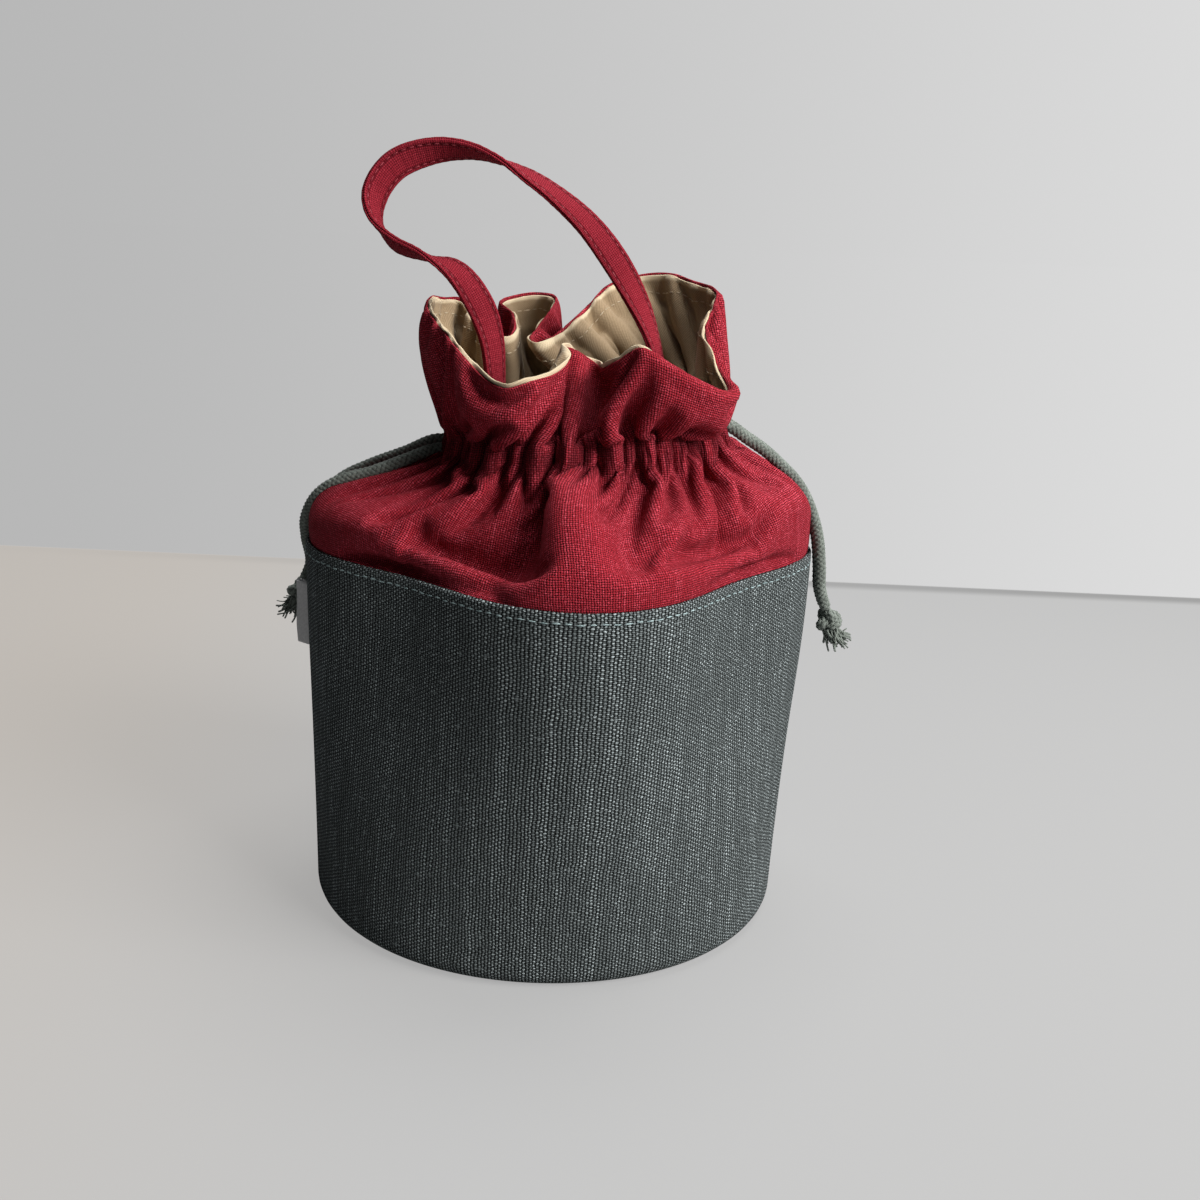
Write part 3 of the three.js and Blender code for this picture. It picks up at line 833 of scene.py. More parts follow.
def collar_rings(w):
    """The rings that the collar runs through: the rim, both edges of the casing, and the mouth."""
    rim = body_point(w, BODY_HEIGHT - 1.0, RIM_INSET)
    wide = NECK_RADIUS + CASING_OUT
    low, high = neck_point(w, -PINCH_REACH, wide), neck_point(w, PINCH_REACH, wide - PINCH)
    mouth = curve(np.array(MOUTH_EDGE) + [NECK_SHIFT, 0, NECK_HEIGHT], 60, closed=True)
    mouth = even(np.concatenate([mouth, mouth[:1]]), FINE + 1)[:-1]
    return rim, low, high, mouth


def plain_rows(rim, low, high, mouth, cut_height, reach):
    """Rows from the rim to the mouth without pleats, and the depth of pleats and broad folds in each."""
    rows, pleating = [], []
    for i in range(SHOULDER_ROWS + 1):
        t = i / SHOULDER_ROWS
        inward, rise = bezier(t, 0, -0.02, 0.40, 1), bezier(t, 0, 0.50, 0.80, 1)
        rows.append(rim + (low - rim) * [inward, inward, rise])
        deep = smooth((t - 0.45) / 0.5)
        pleating.append((deep, 1 - 0.8 * deep))
    for i in range(1, CASING_ROWS + 1):
        rows.append(low + (high - low) * i / CASING_ROWS)
        pleating.append((1.0, 0.2))
    centre = np.array([NECK_SHIFT, 0.0])
    narrow = NECK_RADIUS / np.linalg.norm(mouth[:, :2] - centre, axis=1).mean()
    slack = np.sqrt(np.maximum(0, 0.375 * reach * (cut_height - reach)))
    out = unit(high - np.array([NECK_SHIFT, 0, 0]) - [0, 0, 1] * high)
    for i in range(1, RUFFLE_ROWS + 1):
        t = i / RUFFLE_ROWS
        shape = mouth.copy()
        shape[:, :2] = centre + (mouth[:, :2] - centre) * (narrow + (1 - narrow) * t ** 1.2)
        row = high + (shape - high) * smooth(t / 0.6)
        row[:, 2] = high[:, 2] + (mouth[:, 2] - high[:, 2]) * t
        rows.append(row + out * (0.4 * slack * np.sin(np.pi * t))[:, None])
        pleating.append((1 - smooth(t / 0.55), 0.25 * (1 - smooth(t / 0.8))))
    return np.array(rows), pleating


def gathered_rows():
    """The collar before it settles: its rows pleated to their cut length, with cut widths and levels."""
    rng = np.random.default_rng(5)
    w = np.arange(FINE) / FINE
    edges = np.concatenate([[0], np.cumsum(rng.uniform(*PLEAT_WIDTHS, PLEATS))])
    edges = edges / edges[-1]
    phase = np.interp(w, edges, np.arange(PLEATS + 1))

    def uneven(values):
        return np.interp(w, edges, np.append(values, values[0]))

    pleat = 2 * np.abs(np.sin(np.pi * phase)) ** VALLEY - 1
    lean = uneven(rng.uniform(-1, 1, PLEATS))
    broad = -np.cos(np.pi * phase + 0.6 * np.sin(6 * np.pi * w)) * uneven(rng.uniform(0.5, 1.5, PLEATS))

    rim, low, high, mouth = collar_rings(w)
    reach = np.linalg.norm(mouth - high, axis=1)
    cut_height = np.maximum(RUFFLE_CUT, 1.03 * reach)
    rows, pleating = plain_rows(rim, low, high, mouth, cut_height, reach)
    around = np.linspace(ring_length(rim), ring_length(mouth), ROWS)
    face = normals(rows, closed=True)
    ahead = unit(np.roll(rows, -1, 1) - np.roll(rows, 1, 1))
    face[SHOULDER_ROWS:] = unit(np.cross(ahead, [0, 0, 1.0]))[SHOULDER_ROWS:]
    start = np.empty((ROWS, ROUND, 3))
    first_of = np.searchsorted(w, edges[:-1])
    half = FINE // 2
    for i, (deep, wide) in enumerate(pleating):
        wave = deep * pleat + wide * broad
        side = 0.5 * deep * lean * np.maximum(pleat, 0)
        ring = rows[i]
        depth = np.full(PLEATS, PLEAT_START)
        for _ in range(0 if i in (0, ROWS - 1) else PLEAT_ROUNDS):
            size = np.interp(w, 0.5 * (edges[1:] + edges[:-1]), depth, period=1.0)
            ring = rows[i] + face[i] * (size * wave)[:, None] + ahead[i] * (size * side)[:, None]
            steps = np.linalg.norm(np.roll(ring, -1, 0) - ring, axis=1)
            lacking = np.diff(edges) * around[i] - np.add.reduceat(steps, first_of)
            depth = np.clip(depth + 0.18 * lacking, 0, PLEAT_LIMIT)
        ring = np.concatenate([ring, ring[:1]])
        start[i] = np.concatenate([even(ring[k:k + half + 1], ROUND // 2 + 1)[:-1] for k in (0, half)])

    place = np.arange(ROUND) / ROUND
    rise = np.linalg.norm(np.diff(rows[:SHOULDER_ROWS + 1], axis=0), axis=2).sum(0).mean()
    straight = np.interp(place, w, np.linalg.norm(low - rim, axis=1))
    shoulder = np.maximum(rise * SHOULDER_EASE, SHOULDER_ROOM * straight)
    tall = np.interp(place, w, cut_height)
    levels = [shoulder * i / SHOULDER_ROWS for i in range(SHOULDER_ROWS + 1)]
    levels += [shoulder + 2 * PINCH_REACH * i / CASING_ROWS for i in range(1, CASING_ROWS + 1)]
    levels += [levels[-1] + tall * i / RUFFLE_ROWS for i in range(1, RUFFLE_ROWS + 1)]
    return start, around, np.array(levels)


def fold_pressure():
    """How hard each place is pushed out: the shoulder swells, with its ridges and hollows."""
    t, w = np.meshgrid(np.arange(SHOULDER_ROWS) / SHOULDER_ROWS, np.arange(ROUND) / ROUND, indexing="ij")
    swelling = np.zeros((ROWS, ROUND))
    swelling[:SHOULDER_ROWS] = PRESS
    for place, lean, level, wide, tall, push in FOLDS:
        gap = (w - place - lean * (t - level) + 0.5) % 1 - 0.5
        swelling[:SHOULDER_ROWS] += push * np.exp(-(gap / wide) ** 2 - ((t - level) / tall) ** 2)
    swelling[:SHOULDER_ROWS] -= 2 * PRESS * smooth((t - 0.5) / 0.4)
    return swelling[:, :, None]


def cloth_links(around, levels, free):
    """Pairs of places with the cut length between them: along threads, across them and over folds."""
    index = np.arange(ROWS * ROUND).reshape(ROWS, ROUND)
    flat = grid_uv((around / ROUND)[:, None], levels).reshape(-1, 2)
    column = np.tile(np.arange(ROUND), ROWS)
    after, beyond = np.roll(index, -1, 1), np.roll(index, -3, 1)
    groups = [(index[:, k::2], after[:, k::2], "keep") for k in (0, 1)]
    groups += [(index[k:-1:2], index[k + 1::2][:len(index[k:-1:2])], "keep") for k in (0, 1)]
    for k in (0, 1):
        groups.append((index[:-1][k::2], after[1:][k::2], "cross"))
        groups.append((after[:-1][k::2], index[1:][k::2], "cross"))
    each, level = np.arange(ROUND), np.arange(ROWS - 2)
    for k in (0, 1):
        chosen = each[each // 3 % 2 == k]
        groups.append((index[:, chosen], beyond[:, chosen], "bend"))
        chosen = level[level // 2 % 2 == k]
        groups.append((index[chosen], index[chosen + 2], "bend"))
    links = []
    for a, b, kind in groups:
        a, b = a.ravel(), b.ravel()
        step = (column[b] - column[a] + ROUND // 2) % ROUND - ROUND // 2
        rest = np.hypot(step * 0.5 * (flat[a, 0] + flat[b, 0]), flat[b, 1] - flat[a, 1])
        total = free[a] + free[b]
        keep = total > 0
        a, b, total = a[keep], b[keep], total[keep]
        resist = np.where(a // ROUND > CASING_TOP + 2, RUFFLE_BEND, SHOULDER_BEND)
        hold = {"keep": 1.0, "cross": SHEAR, "bend": resist}[kind]
        share_a, share_b = (free[a] / total)[:, None], (free[b] / total)[:, None]
        links.append((a, b, rest[keep], share_a, share_b, hold, kind))
    return links


def keep_apart(x, free):
    """Pushes places of the cloth apart that aren't neighbours and come too near each other."""
    tree = kdtree.KDTree(len(x))
    for k, point in enumerate(x):
        tree.insert(point, k)
    tree.balance()
    pairs = []
    for k, point in enumerate(x):
        for _, other, _ in tree.find_range(point, APART):
            if other > k:
                pairs.append((k, other))
    a, b = np.array(pairs).T
    round_gap = np.abs((a % ROUND - b % ROUND + ROUND // 2) % ROUND - ROUND // 2)
    far = (round_gap > 3) | (np.abs(a // ROUND - b // ROUND) > 3)
    a, b = a[far], b[far]
    d = x[b] - x[a]
    size = np.linalg.norm(d, axis=1)
    push = d * (0.25 * (APART - size) / np.maximum(size, 1e-6))[:, None]
    np.add.at(x, a, -push * free[a][:, None])
    np.add.at(x, b, push * free[b][:, None])


def settle(start, around, levels, rounds):
    """Lets the gathered cloth settle: it keeps its cut lengths, resists folds and doesn't pass itself."""
    free = np.ones((ROWS, ROUND))
    free[[0, *range(SHOULDER_ROWS, CASING_TOP + 1), ROWS - 1]] = 0
    free = free.ravel()
    links = cloth_links(around, levels, free)
    swelling = fold_pressure()
    edge = body_point(np.linspace(0, 1, 721), BODY_HEIGHT, 0.0)
    edge_angle = np.unwrap(np.arctan2(edge[:, 1], edge[:, 0] - RIM_LEAN))
    edge_radius = np.hypot(edge[:, 0] - RIM_LEAN, edge[:, 1])
    row_of = np.arange(ROWS * ROUND) // ROUND
    fall = WEIGHT * free * np.where(row_of > CASING_TOP, RUFFLE_WEIGHT, 1.0)
    x = start.reshape(-1, 3).copy()
    before = x.copy()
    for turn in range(rounds):
        move = (x - before) * CARRY
        size = np.linalg.norm(move, axis=1, keepdims=True)
        before = x.copy()
        x = x + move * np.minimum(1, LONGEST_MOVE / np.maximum(size, 1e-9)) * free[:, None]
        x[:, 2] -= fall
        swell = normals(x.reshape(ROWS, ROUND, 3), closed=True) * swelling
        x += swell.reshape(-1, 3) * free[:, None]
        low = x[:ROUND * SHOULDER_ROWS]
        angle = np.arctan2(low[:, 1], low[:, 0] - RIM_LEAN) % (2 * np.pi)
        room = np.interp(angle, edge_angle, edge_radius) - OVERHANG
        past = np.maximum(np.hypot(low[:, 0] - RIM_LEAN, low[:, 1]) / room, 1)[:, None]
        inside = free[:len(low), None] > 0
        low[:, :2] = np.where(inside, [RIM_LEAN, 0] + (low[:, :2] - [RIM_LEAN, 0]) / past, low[:, :2])
        low[:, 2] = np.where(inside[:, 0], np.maximum(low[:, 2], BODY_HEIGHT), low[:, 2])
        if (turn + 1) % APART_EVERY == 0:
            keep_apart(x, free)
        for a, b, rest, share_a, share_b, hold, kind in links:
            d = x[b] - x[a]
            size = np.linalg.norm(d, axis=1)
            wrong = size - rest
            if kind == "bend":
                wrong = np.minimum(wrong, 0)
            fix = d * (hold * wrong / np.maximum(size, 1e-9))[:, None]
            if kind == "cross":
                np.add.at(x, a, fix * share_a)
                np.add.at(x, b, -fix * share_b)
            else:
                x[a] += fix * share_a
                x[b] -= fix * share_b
    return x.reshape(ROWS, ROUND, 3)


def half_of(grid, first):
    """The columns of one half of a closed grid, with both of its seams."""
    start = int(first * ROUND)
    return np.take(grid, range(start, start + ROUND // 2 + 1), axis=1, mode="wrap")


def open_slots(half, way):
    """Parts the cloth at the side seams of the casing, where the cords come out."""
    count = half.shape[1]
    height = np.exp(-((np.arange(ROWS) - SHOULDER_ROWS - CASING_ROWS / 2) / SLOT_ROWS) ** 4)
    from_seam = np.minimum(np.arange(count), count - 1 - np.arange(count))
    shift = SLOT_SHIFT * np.exp(-(from_seam / SLOT_REACH) ** 2)
    half[:, :, 1] += way * height[:, None] * shift[None]
    return half


cut_rows, cut_around, cut_levels = gathered_rows()
cloth = settle(cut_rows, cut_around, cut_levels, SETTLE_ROUNDS)


def collar_panel(name, node, first):
    half = open_slots(half_of(cloth, first), 1 if first == 0 else -1)
    w = first + np.linspace(0, 0.5, half.shape[1])
    hem = [body_point(w, z, RIM_INSET) for z in (BODY_HEIGHT - HEM_DEPTH, BODY_HEIGHT - 4)]
    grid = np.concatenate([hem, half])
    face = normals(grid)
    u = w * np.concatenate([cut_around[:1], cut_around[:1], cut_around])[:, None]
    level = half_of(cut_levels, first)
    v = np.concatenate([level[:1] - 6, level[:1] - 3, level])
    piece = shell_piece(name, grid + face * LINEN / 2, grid - face * LINEN / 2, grid_uv(u, v), linen)
    casing = v[SHOULDER_ROWS + 3]
    # Near the casing, where the gathered cloth takes creases with painted shade and relief.
    crease_shade_zone = np.exp(-((v - casing) / np.where(v > casing, 9.0, 12.0)) ** 2)
    mark(piece, "crease_shade_zone", np.concatenate([crease_shade_zone, crease_shade_zone[-1:], crease_shade_zone[::-1]]).T)
    stand_in(piece, node)


for word, first in HALVES:
    collar_panel(f"collar_{word}_cloth", f"collar_{word}", first)


# Lining

FRONT_RISE = 1.1
BACK_RISE = -0.8
LINING_GIRTH = 510.0
LINING_WAVES = 24
LINING_NECK = NECK_RADIUS - PLEAT_DEPTH - CORD_PITCH - LINING_PLEAT - LOOP_IN
LINING_GAP = LINEN / 2 + SEAM_GAP / 2 + TWILL / 2
LOOK_ROWS = 2
LOOK_COLUMNS = 20


def eased(grid, times):
    """The grid with its small folds taken out along the rows."""
    for _ in range(times):
        grid = 0.25 * np.roll(grid, 1, 1) + 0.5 * grid + 0.25 * np.roll(grid, -1, 1)
    return grid


def hollow(grid, reach):
    """A smooth ring inside each row, no further out than its deepest folds."""
    arm = grid[:, :, :2] - [NECK_SHIFT, 0]
    size = np.linalg.norm(arm, axis=2)
    least = np.min([np.roll(size, k, 1) for k in range(-reach, reach + 1)], axis=0)
    ring = eased(grid, 24)
    ring[:, :, :2] = [NECK_SHIFT, 0] + unit(eased(arm, 24)) * (eased(least, 24) - 1.5)[:, :, None]
    return ring


def through(sheet, outside):
    """How far each point of a sheet lies beyond the nearest point of the cloth outside it."""
    face = normals(outside, closed=True)
    best = np.full(sheet.shape[:2], np.inf)
    depth = np.zeros(sheet.shape[:2])
    for step in range(-LOOK_ROWS, LOOK_ROWS + 1):
        rows = np.clip(np.arange(len(sheet)) + step, 0, len(sheet) - 1)
        for k in range(-LOOK_COLUMNS, LOOK_COLUMNS + 1):
            reached = sheet - np.roll(outside[rows], k, 1)
            size = (reached ** 2).sum(2)
            depth = np.where(size < best, (reached * np.roll(face[rows], k, 1)).sum(2), depth)
            best = np.minimum(size, best)
    return depth


def widened(share, reach):
    """A share kept at its highest over the columns and rows beside it, with soft ends."""
    for _ in range(reach):
        tall = np.pad(share, ((1, 1), (0, 0)), mode="edge")
        share = np.max([share, np.roll(share, 1, 1), np.roll(share, -1, 1), tall[:-2], tall[2:]], axis=0)
    return eased(share[:, :, None], reach)


def ruffle_lining():
    """The lining above the cords: near the cloth of the ruffle, and never out through it."""
    ruffle = cloth[CASING_TOP:]
    calm, inner = eased(ruffle, 60)[2:], hollow(ruffle, 8)[2:]
    back = unit(eased(normals(ruffle, closed=True), 10)[2:])
    ruffle = ruffle[2:]
    t = (np.arange(2, RUFFLE_ROWS + 1) / RUFFLE_ROWS)[:, None, None]
    near = 1 - smooth((t - 0.03) / 0.2)
    easy = 0.9 * (1 - t ** 8) * smooth((t - 0.25) / 0.3)
    close = ruffle + (inner - ruffle) * near - back * LINING_GAP * (1 - near)
    slow = unit(eased(normals(calm, closed=True), 10))
    loose = close + (calm - ruffle - slow) * easy
    for _ in range(3):
        loose = loose - slow * easy * widened(np.clip(through(loose, ruffle) + LINING_GAP, 0, 1.2), 6)
    held = widened(np.clip((through(loose, ruffle) + LINING_GAP + 0.4) / 0.5, 0, 1), 5)
    upper = loose + (close - loose) * held
    cords_top = NECK_HEIGHT + CORD_PITCH / 2 + CORD / 2 + 1.0
    over = cords_top + NECK_TILT * (upper[:2, :, 0] - NECK_SHIFT)
    upper[:2, :, 2] = np.maximum(upper[:2, :, 2], over)
    low = 1 - smooth((t - 0.2) / 0.2)
    flare = smooth((-slow[:, :, 2:] - 0.25) / 0.35)
    for _ in range(8):
        outward = unit((upper - [NECK_SHIFT, 0, 0]) * [1, 1, 0]) * (1 - flare) + slow * flare
        upper = upper - outward * low * widened(np.clip(through(upper, ruffle) + LINING_GAP, 0, 1.0), 3)
    rise = FRONT_RISE + (BACK_RISE - FRONT_RISE) * smooth((upper[-1][:, 1:2] + 5) / 25)
    upper[-1] = upper[-1] + unit(ruffle[-1] - ruffle[-3]) * rise
    return upper


def lining_rows():
    """The lining from the foot of the bucket to the mouth, inside the collar, as one ring of rows."""
    w = np.arange(ROUND) / ROUND
    foot = CANVAS + SEAM_GAP + TWILL + SEAM_GAP
    rows = [body_point(w, foot, FOOT_ROUND + LINING_EASE)]
    for z in np.linspace(foot + FOOT_ROUND, BODY_HEIGHT - HEM_DEPTH - LINEN, 14):
        rows.append(body_point(w, z, CANVAS + LINING_EASE + LINEN * smooth(z / BODY_HEIGHT)))
    broad = eased(cloth[:CASING_TOP + 1], 70)
    inward = normals(broad, closed=True)
    for i in range(3, SHOULDER_ROWS, 3):
        drop = 2.0 + 5.5 * smooth(i / SHOULDER_ROWS)
        rows.append(broad[i] - inward[i] * drop)
    wave = 0.6 * LINING_PLEAT * np.cos(2 * np.pi * LINING_WAVES * w)
    for height in (-0.4, 0.0, 0.4):
        ring = neck_point(w, height * CASING, LINING_NECK)
        rows.append(ring + unit(ring - [NECK_SHIFT, 0, NECK_HEIGHT]) * wave[:, None])
    return np.concatenate([rows, ruffle_lining()])


def lining_panel(name, node, first):
    grid = half_of(lining, first)
    w = first + np.linspace(0, 0.5, grid.shape[1])
    face = normals(grid)
    rise = np.linalg.norm(np.diff(grid, axis=0), axis=2).mean(1)
    v = np.concatenate([[0], np.cumsum(rise)]) - rise.sum()
    uv = grid_uv(w * LINING_GIRTH, v[:, None])
    piece = shell_piece(name, grid + face * TWILL / 2, grid - face * TWILL / 2, uv, twill)
    stand_in(piece, node)


lining = lining_rows()
for word, first in HALVES:
    lining_panel(f"lining_{word}_cloth", f"lining_{word}", first)


# Strap

STRAP_POINTS = 420
STRAP_SEWN = 1.4

# One face of the strap near its edge: distance in from the edge, and share of half of the thickness
STRAP_FLANK = [(0.8, 1.0), (1.1, 0.95), (STRAP_SEWN, 0.72), (1.7, 0.95), (2.4, 1.05)]


def strap_end(side, height):
    room = PLEAT_DEPTH + CORD_PITCH + 2 * LINING_PLEAT + TWILL + 2 * SEAM_GAP + STRAP_THICKNESS / 2
    x = side * (NECK_RADIUS - room)
    return [x, 0, NECK_TILT * x + height, 0]


def strap_frames():
    """Middle line of the strap, and the directions along its width and through its thickness."""
    places = [strap_end(-1, -CASING / 2), strap_end(-1, CASING / 4), *STRAP_ROUTE,
              strap_end(1, CASING / 4), strap_end(1, -CASING / 2)]
    line = curve(places, 24)
    turn = np.radians(line[:, 3:])
    packed = even(np.concatenate([line[:, :3] + [NECK_SHIFT, 0, NECK_HEIGHT], turn], 1), STRAP_POINTS)
    middle, turn = packed[:, :3], packed[:, 3:]
    along = unit(np.gradient(middle, axis=0))
    near = unit(np.array([0, -1.0, 0]) + along * along[:, 1:2])
    near = near * np.cos(turn) - np.cross(along, near) * np.sin(turn)
    return middle, near, np.cross(near, along)


def strap_section():
    """The folded strap across: sunk stitch lines on both faces, and a groove between plies at each edge."""
    half = STRAP_WIDTH / 2
    section = [(-half + 0.15, -0.85)]
    section += [(-half + d, -level) for d, level in STRAP_FLANK] + [(0, -1.12)]
    section += [(half - d, -level) for d, level in STRAP_FLANK[::-1]]
    section += [(half - 0.15, -0.8), (half, -0.5), (half - 0.05, -0.2), (half - 0.75, 0.0),
                (half - 0.05, 0.2), (half, 0.5), (half - 0.15, 0.8)]
    section += [(half - d, level) for d, level in STRAP_FLANK] + [(0, 1.12)]
    section += [(-half + d, level) for d, level in STRAP_FLANK[::-1]]
    section += [(-half + 0.15, 0.85), (-half - 0.05, 0.2), (-half + 0.6, 0.0), (-half - 0.05, -0.2)]
    return np.array(section) * [1, STRAP_THICKNESS / 2]


def strap_piece():
    middle, near, out = strap_frames()
    section = strap_section()
    s = running(middle)
    pucker = 1 + 0.05 * np.sin(s * 2.4) + 0.03 * np.sin(s * 1.1 + 2)
    slices = middle[:, None] + near[:, None] * section[:, :1]
    slices = slices + out[:, None] * section[:, 1:] * pucker[:, None, None]
    uv = grid_uv(running(section), s[:, None])
    piece = add_mesh("handle_strap_cloth", slices, loft(slices), strap_linen, uv)
    # The sunk stitch lines and the gap between the plies, marked for painted shade.
    sunk = np.abs(np.abs(section[:, 0]) - STRAP_WIDTH / 2 + STRAP_SEWN) < 0.4
    sunk = sunk | (np.abs(section[:, 1]) < 0.01)
    mark(piece, "groove", np.broadcast_to(sunk.astype(float), slices.shape[:2]))
    stand_in(piece, "handle_strap")
    return middle, near, out


strap_middle, strap_near, strap_out = strap_piece()


# Label tab

LABEL_PLY = 0.5
LABEL_BULGE = 1.7


def label_piece():
    """A folded ribbon: two plies joined by a round fold at the outer end."""
    half = LABEL_THICKNESS / 2
    bulge = LABEL_BULGE * half
    depth = LABEL_DEPTH - bulge

    def fold(thin, wide, turns):
        sides = [(0, thin), (depth * 0.45, 0.5 * (thin + wide)), (depth, wide)]
        end = [(depth + wide * math.sin(a), -wide * math.cos(a)) for a in np.radians(turns)]
        return [(x, -y) for x, y in sides] + end + sides[::-1]

    outer = fold(0.75 * half, bulge, [25, 50, 75, 105, 130, 155])
    inner = fold(0.75 * half - LABEL_PLY, bulge - LABEL_PLY, [45, 90, 135])[::-1]
    outline = np.array(outer + inner)
    top = BODY_HEIGHT - LABEL_DROP
    root = body_point(0.5, top, -SEAM_GAP - half)
    turn = math.pi - LABEL_LEAN
    slices = []
    for z in np.linspace(top - LABEL_HEIGHT, top, 24):
        out, across = outline[:, 0], outline[:, 1] + 0.25 * math.sin((z - top) * 0.3)
        x = root[0] + out * math.cos(turn) - across * math.sin(turn)
        y = out * math.sin(turn) + across * math.cos(turn)
        slices.append(np.stack([x, y, z + 0 * x], -1))
    slices = np.array(slices)
    uv = grid_uv(running(outline), slices[:, :1, 2])
    piece = add_mesh("label_ribbon_tab", slices, loft(slices, flat=True), ribbon, uv)
    stand_in(piece, "label_tab")


label_piece()


# Stitches: short dashes of thread along sewn lines

# Places of the lines: millimetres, points or rows from an edge, and how far a thread lies off the cloth
RIM_SEWN = 3.0
RIM_THREAD = 0.12
STRAP_THREAD = 0.88
STRAP_BARE = 14
MOUTH_SEWN = 4
MOUTH_THREAD = 0.08


def stitch_tree():
    """Dashes of thread laid along the edges of a mesh, all of one length and pitch."""
    tree = bpy.data.node_groups.new("sewn_line", "GeometryNodeTree")
    face = tree.interface
    face.new_socket("Geometry", in_out="INPUT", socket_type="NodeSocketGeometry")
    for word in ("Pitch", "Length", "Thickness"):
        face.new_socket(word, in_out="INPUT", socket_type="NodeSocketFloat")
    face.new_socket("Thread", in_out="INPUT", socket_type="NodeSocketMaterial")
    face.new_socket("Geometry", in_out="OUTPUT", socket_type="NodeSocketGeometry")

    def add(kind, sockets=None, **settings):
        outputs = add_node(tree, kind, sockets, **settings)
        return outputs[0] if outputs else None

    given = add_node(tree, "NodeGroupInput")
    thick = given["Thickness"]
    line = add("GeometryNodeMeshToCurve", {"Mesh": given["Geometry"]})
    spots = add("GeometryNodeResampleCurve", {"Curve": line, "Length": given["Pitch"]}, mode="LENGTH")
    ahead = add("GeometryNodeInputTangent")
    turned = add("FunctionNodeAlignRotationToVector", {"Vector": ahead}, axis="Z")
    half = add("ShaderNodeMath", {0: given["Length"], 1: 0.5}, operation="MULTIPLY")
    wobble = add("FunctionNodeRandomValue", {"Min": (0.9, 0.9, 0.82), "Max": (1.1, 1.1, 1.12), "Seed": 7},
                 data_type="FLOAT_VECTOR")
    size = add("ShaderNodeCombineXYZ", {0: thick, 1: thick, 2: half})
    size = add("ShaderNodeVectorMath", {0: size, 1: wobble}, operation="MULTIPLY")
    dash = add("GeometryNodeMeshUVSphere", {"Segments": 6, "Rings": 5, "Radius": 1.0})
    laid = add("GeometryNodeInstanceOnPoints",
               {"Points": spots, "Instance": dash, "Rotation": turned, "Scale": size})
    whole = add("GeometryNodeRealizeInstances", {0: laid})
    shaded = add("GeometryNodeSetShadeSmooth", {0: whole})
    dressed = add("GeometryNodeSetMaterial", {"Geometry": shaded, "Material": given["Thread"]})
    add("NodeGroupOutput", {0: dressed})
    return tree


sewn_line = stitch_tree()


def stitch(name, lines, pitch, length, thickness, material):
    points, edges = [], []
    for line in lines:
        first = len(points)
        points += (np.asarray(line) * MM).tolist()
        edges += [(k, k + 1) for k in range(first, len(points) - 1)]
    guide = bpy.data.meshes.new(name)
    guide.from_pydata(points, edges, [])
    piece = bpy.data.objects.new(name, guide)
    modifier = piece.modifiers.new("sewn", "NODES")
    modifier.node_group = sewn_line
    values = {"Pitch": pitch * MM, "Length": length * MM, "Thickness": thickness * MM, "Thread": material}
    for item in sewn_line.interface.items_tree:
        if item.in_out == "INPUT" and item.name in values:
            modifier[item.identifier] = values[item.name]
    bpy.context.scene.collection.objects.link(piece)
    view = bpy.context.evaluated_depsgraph_get()
    made = bpy.data.meshes.new_from_object(piece.evaluated_get(view))
    piece.modifiers.clear()
    piece.data = made
    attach(piece, "root")


def sew():
    w = np.linspace(0.003, 0.497, 700)
    height = BODY_HEIGHT - RIM_SEWN + 0.15 * np.sin(w * 300)
    rim = [body_point(first + w, height, seam_dip(first + w) - RIM_THREAD) for _, first in HALVES]
    stitch("rim_topstitch", rim, pitch=3.5, length=2.5, thickness=0.27, material=blue_thread)
    edge, face = STRAP_WIDTH / 2 - STRAP_SEWN, STRAP_THICKNESS / 2 * STRAP_THREAD
    lines = [(strap_middle + strap_near * a * edge + strap_out * b * face)[STRAP_BARE:-STRAP_BARE]
             for a in (-1, 1) for b in (-1, 1)]
    stitch("strap_topstitch", lines, pitch=2.7, length=2.1, thickness=0.24, material=red_thread)
    row = len(lining) - MOUTH_SEWN
    mouth = lining[row] - normals(lining, closed=True)[row] * (TWILL / 2 + MOUTH_THREAD)
    mouth = np.concatenate([mouth, mouth[:1]])
    stitch("mouth_topstitch", [curve(mouth[::2], 6)], pitch=2.8, length=2.1, thickness=0.2,
           material=beige_thread)


sew()


# Floor, light and background

FLOOR_REACH = 30000.0
FLOOR_END = 0.432
WALL_START = 0.436
# The painted shadow line at the foot of the wall: from and to, in metres behind the bag.
FOOT_SHADOW_LINE = (0.412, 0.428)
LAMP_AIM = (0, 0, 0.1)


def lit_wall_grey(finish, slope):
    """The wall, brighter to the right, as painted light that falls from the right."""
    return finish.mix(slope.between(-0.55, 0.75), grey(0.475), grey(0.745))


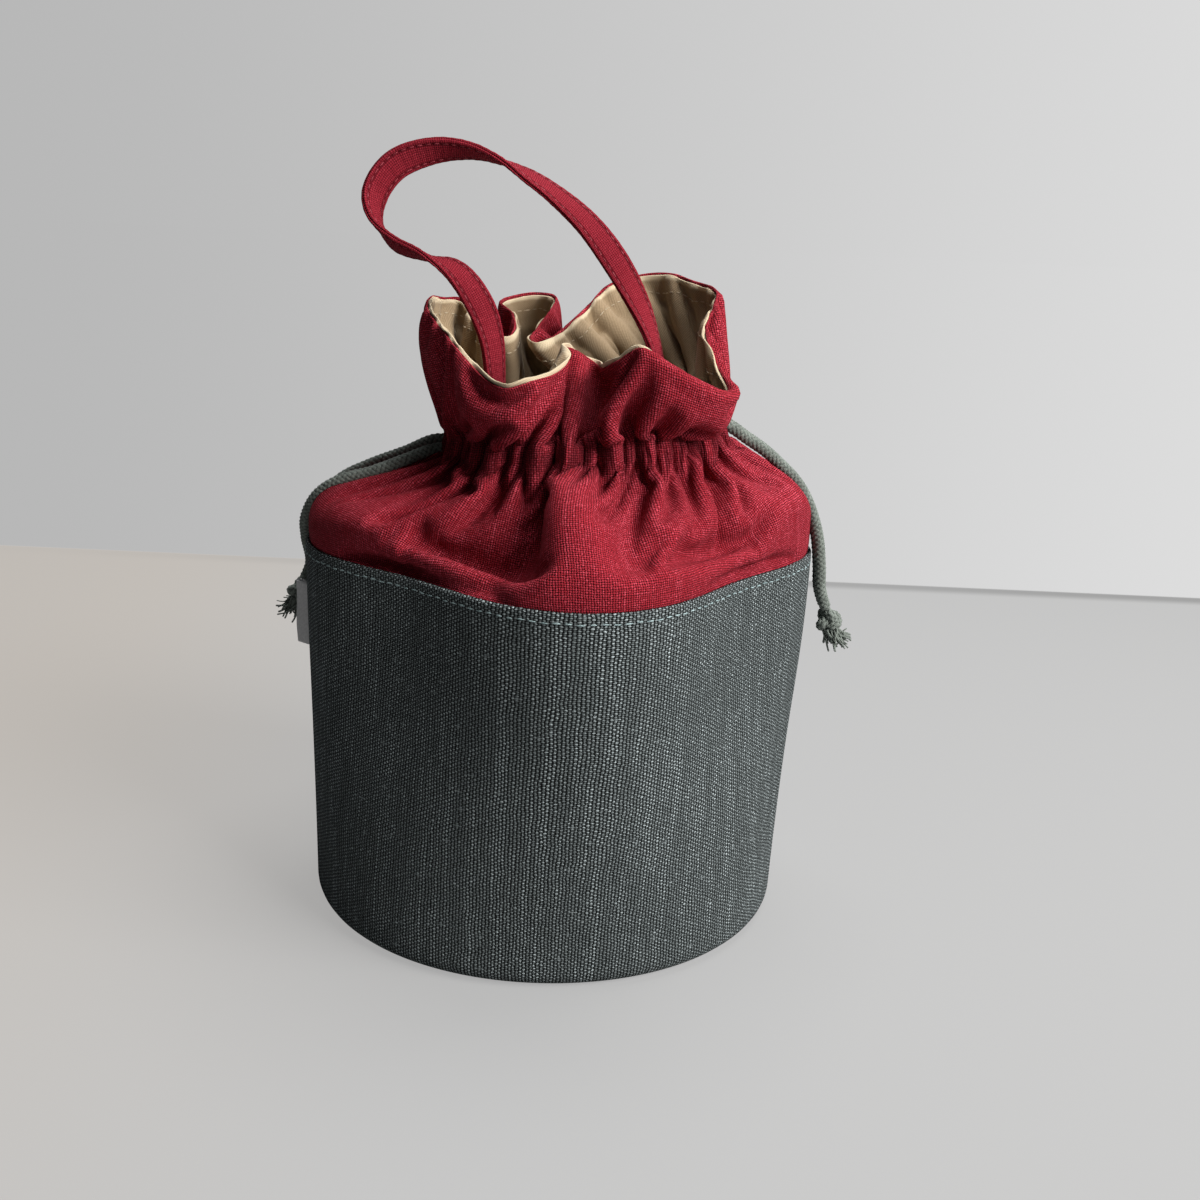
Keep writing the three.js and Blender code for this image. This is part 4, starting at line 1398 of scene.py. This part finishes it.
def lay_floor():
    """A pale floor that turns into the wall behind the bag, with a painted shadow line between them and a
    patch of painted warm light left of the bag.
    """
    floor = Finish(bpy.data.materials.new("pale_floor"))
    x, y = floor.x_and_y(floor.node("TexCoord", out=3))
    far = y.between(FLOOR_END, WALL_START)
    # Painted light: a warm tint on the floor to the left of the bag, as if bounced from warm surroundings.
    warm_bounce_light = x.between(0.0, -0.3) * x.between(-0.9, -0.5)
    near = floor.mix(warm_bounce_light, grey(0.76), tone(0.82, 0.755, 0.685))
    # Painted shadow: a dark line where the floor meets the wall.
    line = y.between(*FOOT_SHADOW_LINE) * x.between(-0.5, 0.5) * 0.6
    near = floor.mix(line, near, grey(0.1))
    # Behind the bag the floor takes the wall's colour, with its painted light.
    pale = floor.mix(far, near, lit_wall_grey(floor, x / (y + 0.42)))
    ground = floor.node("BsdfDiffuse", {"Color": grey(0.27)})
    glow = floor.node("Emission", {"Color": pale, "Strength": 1.0})
    blend = floor.node("MixShader", {0: (far * 0.5 + 0.5) * floor.camera_ray(), 1: ground, 2: glow})
    floor.node("OutputMaterial", {0: blend})
    corners = [[x * FLOOR_REACH, y * FLOOR_REACH, 0] for x, y in ((-1, -1), (1, -1), (1, 1), (-1, 1))]
    add_mesh("floor", corners, [[0, 1, 2, 3]], floor.owner, closed=False)


def light_world():
    sky = Finish(bpy.data.worlds.new("studio"))
    x, y = sky.x_and_y(sky.node("TexCoord", out=0))
    soft = sky.node("Background", {0: tone(0.93, 0.97, 1.0), 1: 0.06})
    # The background the camera sees, with the same painted light, brighter to the right.
    pale = sky.node("Background", {0: lit_wall_grey(sky, x / (y.size() + 0.03)), 1: 1.0})
    both = sky.node("MixShader", {0: sky.camera_ray(), 1: soft, 2: pale})
    sky.node("OutputWorld", {0: both})
    bpy.context.scene.world = sky.owner


def lamp(name, place, size, power, colour):
    """A flat lamp that faces the bag."""
    data = bpy.data.lights.new(name, "AREA")
    data.shape = "RECTANGLE"
    data.size, data.size_y = size
    data.energy = power
    data.color = colour
    back = unit(np.array(place) - LAMP_AIM)
    side = unit(np.cross([0, 0, 1.0], back))
    put(name, data, (side, np.cross(back, side), back), place)


lay_floor()
light_world()
lamp("window", (1.0, -0.6, 0.8), (0.8, 0.8), 29.0, (1.0, 0.985, 0.96))
lamp("overhead", (0.25, 0.3, 1.5), (1.0, 0.8), 17.0, (1.0, 1.0, 1.0))
bpy.context.scene.view_settings.view_transform = "Standard"
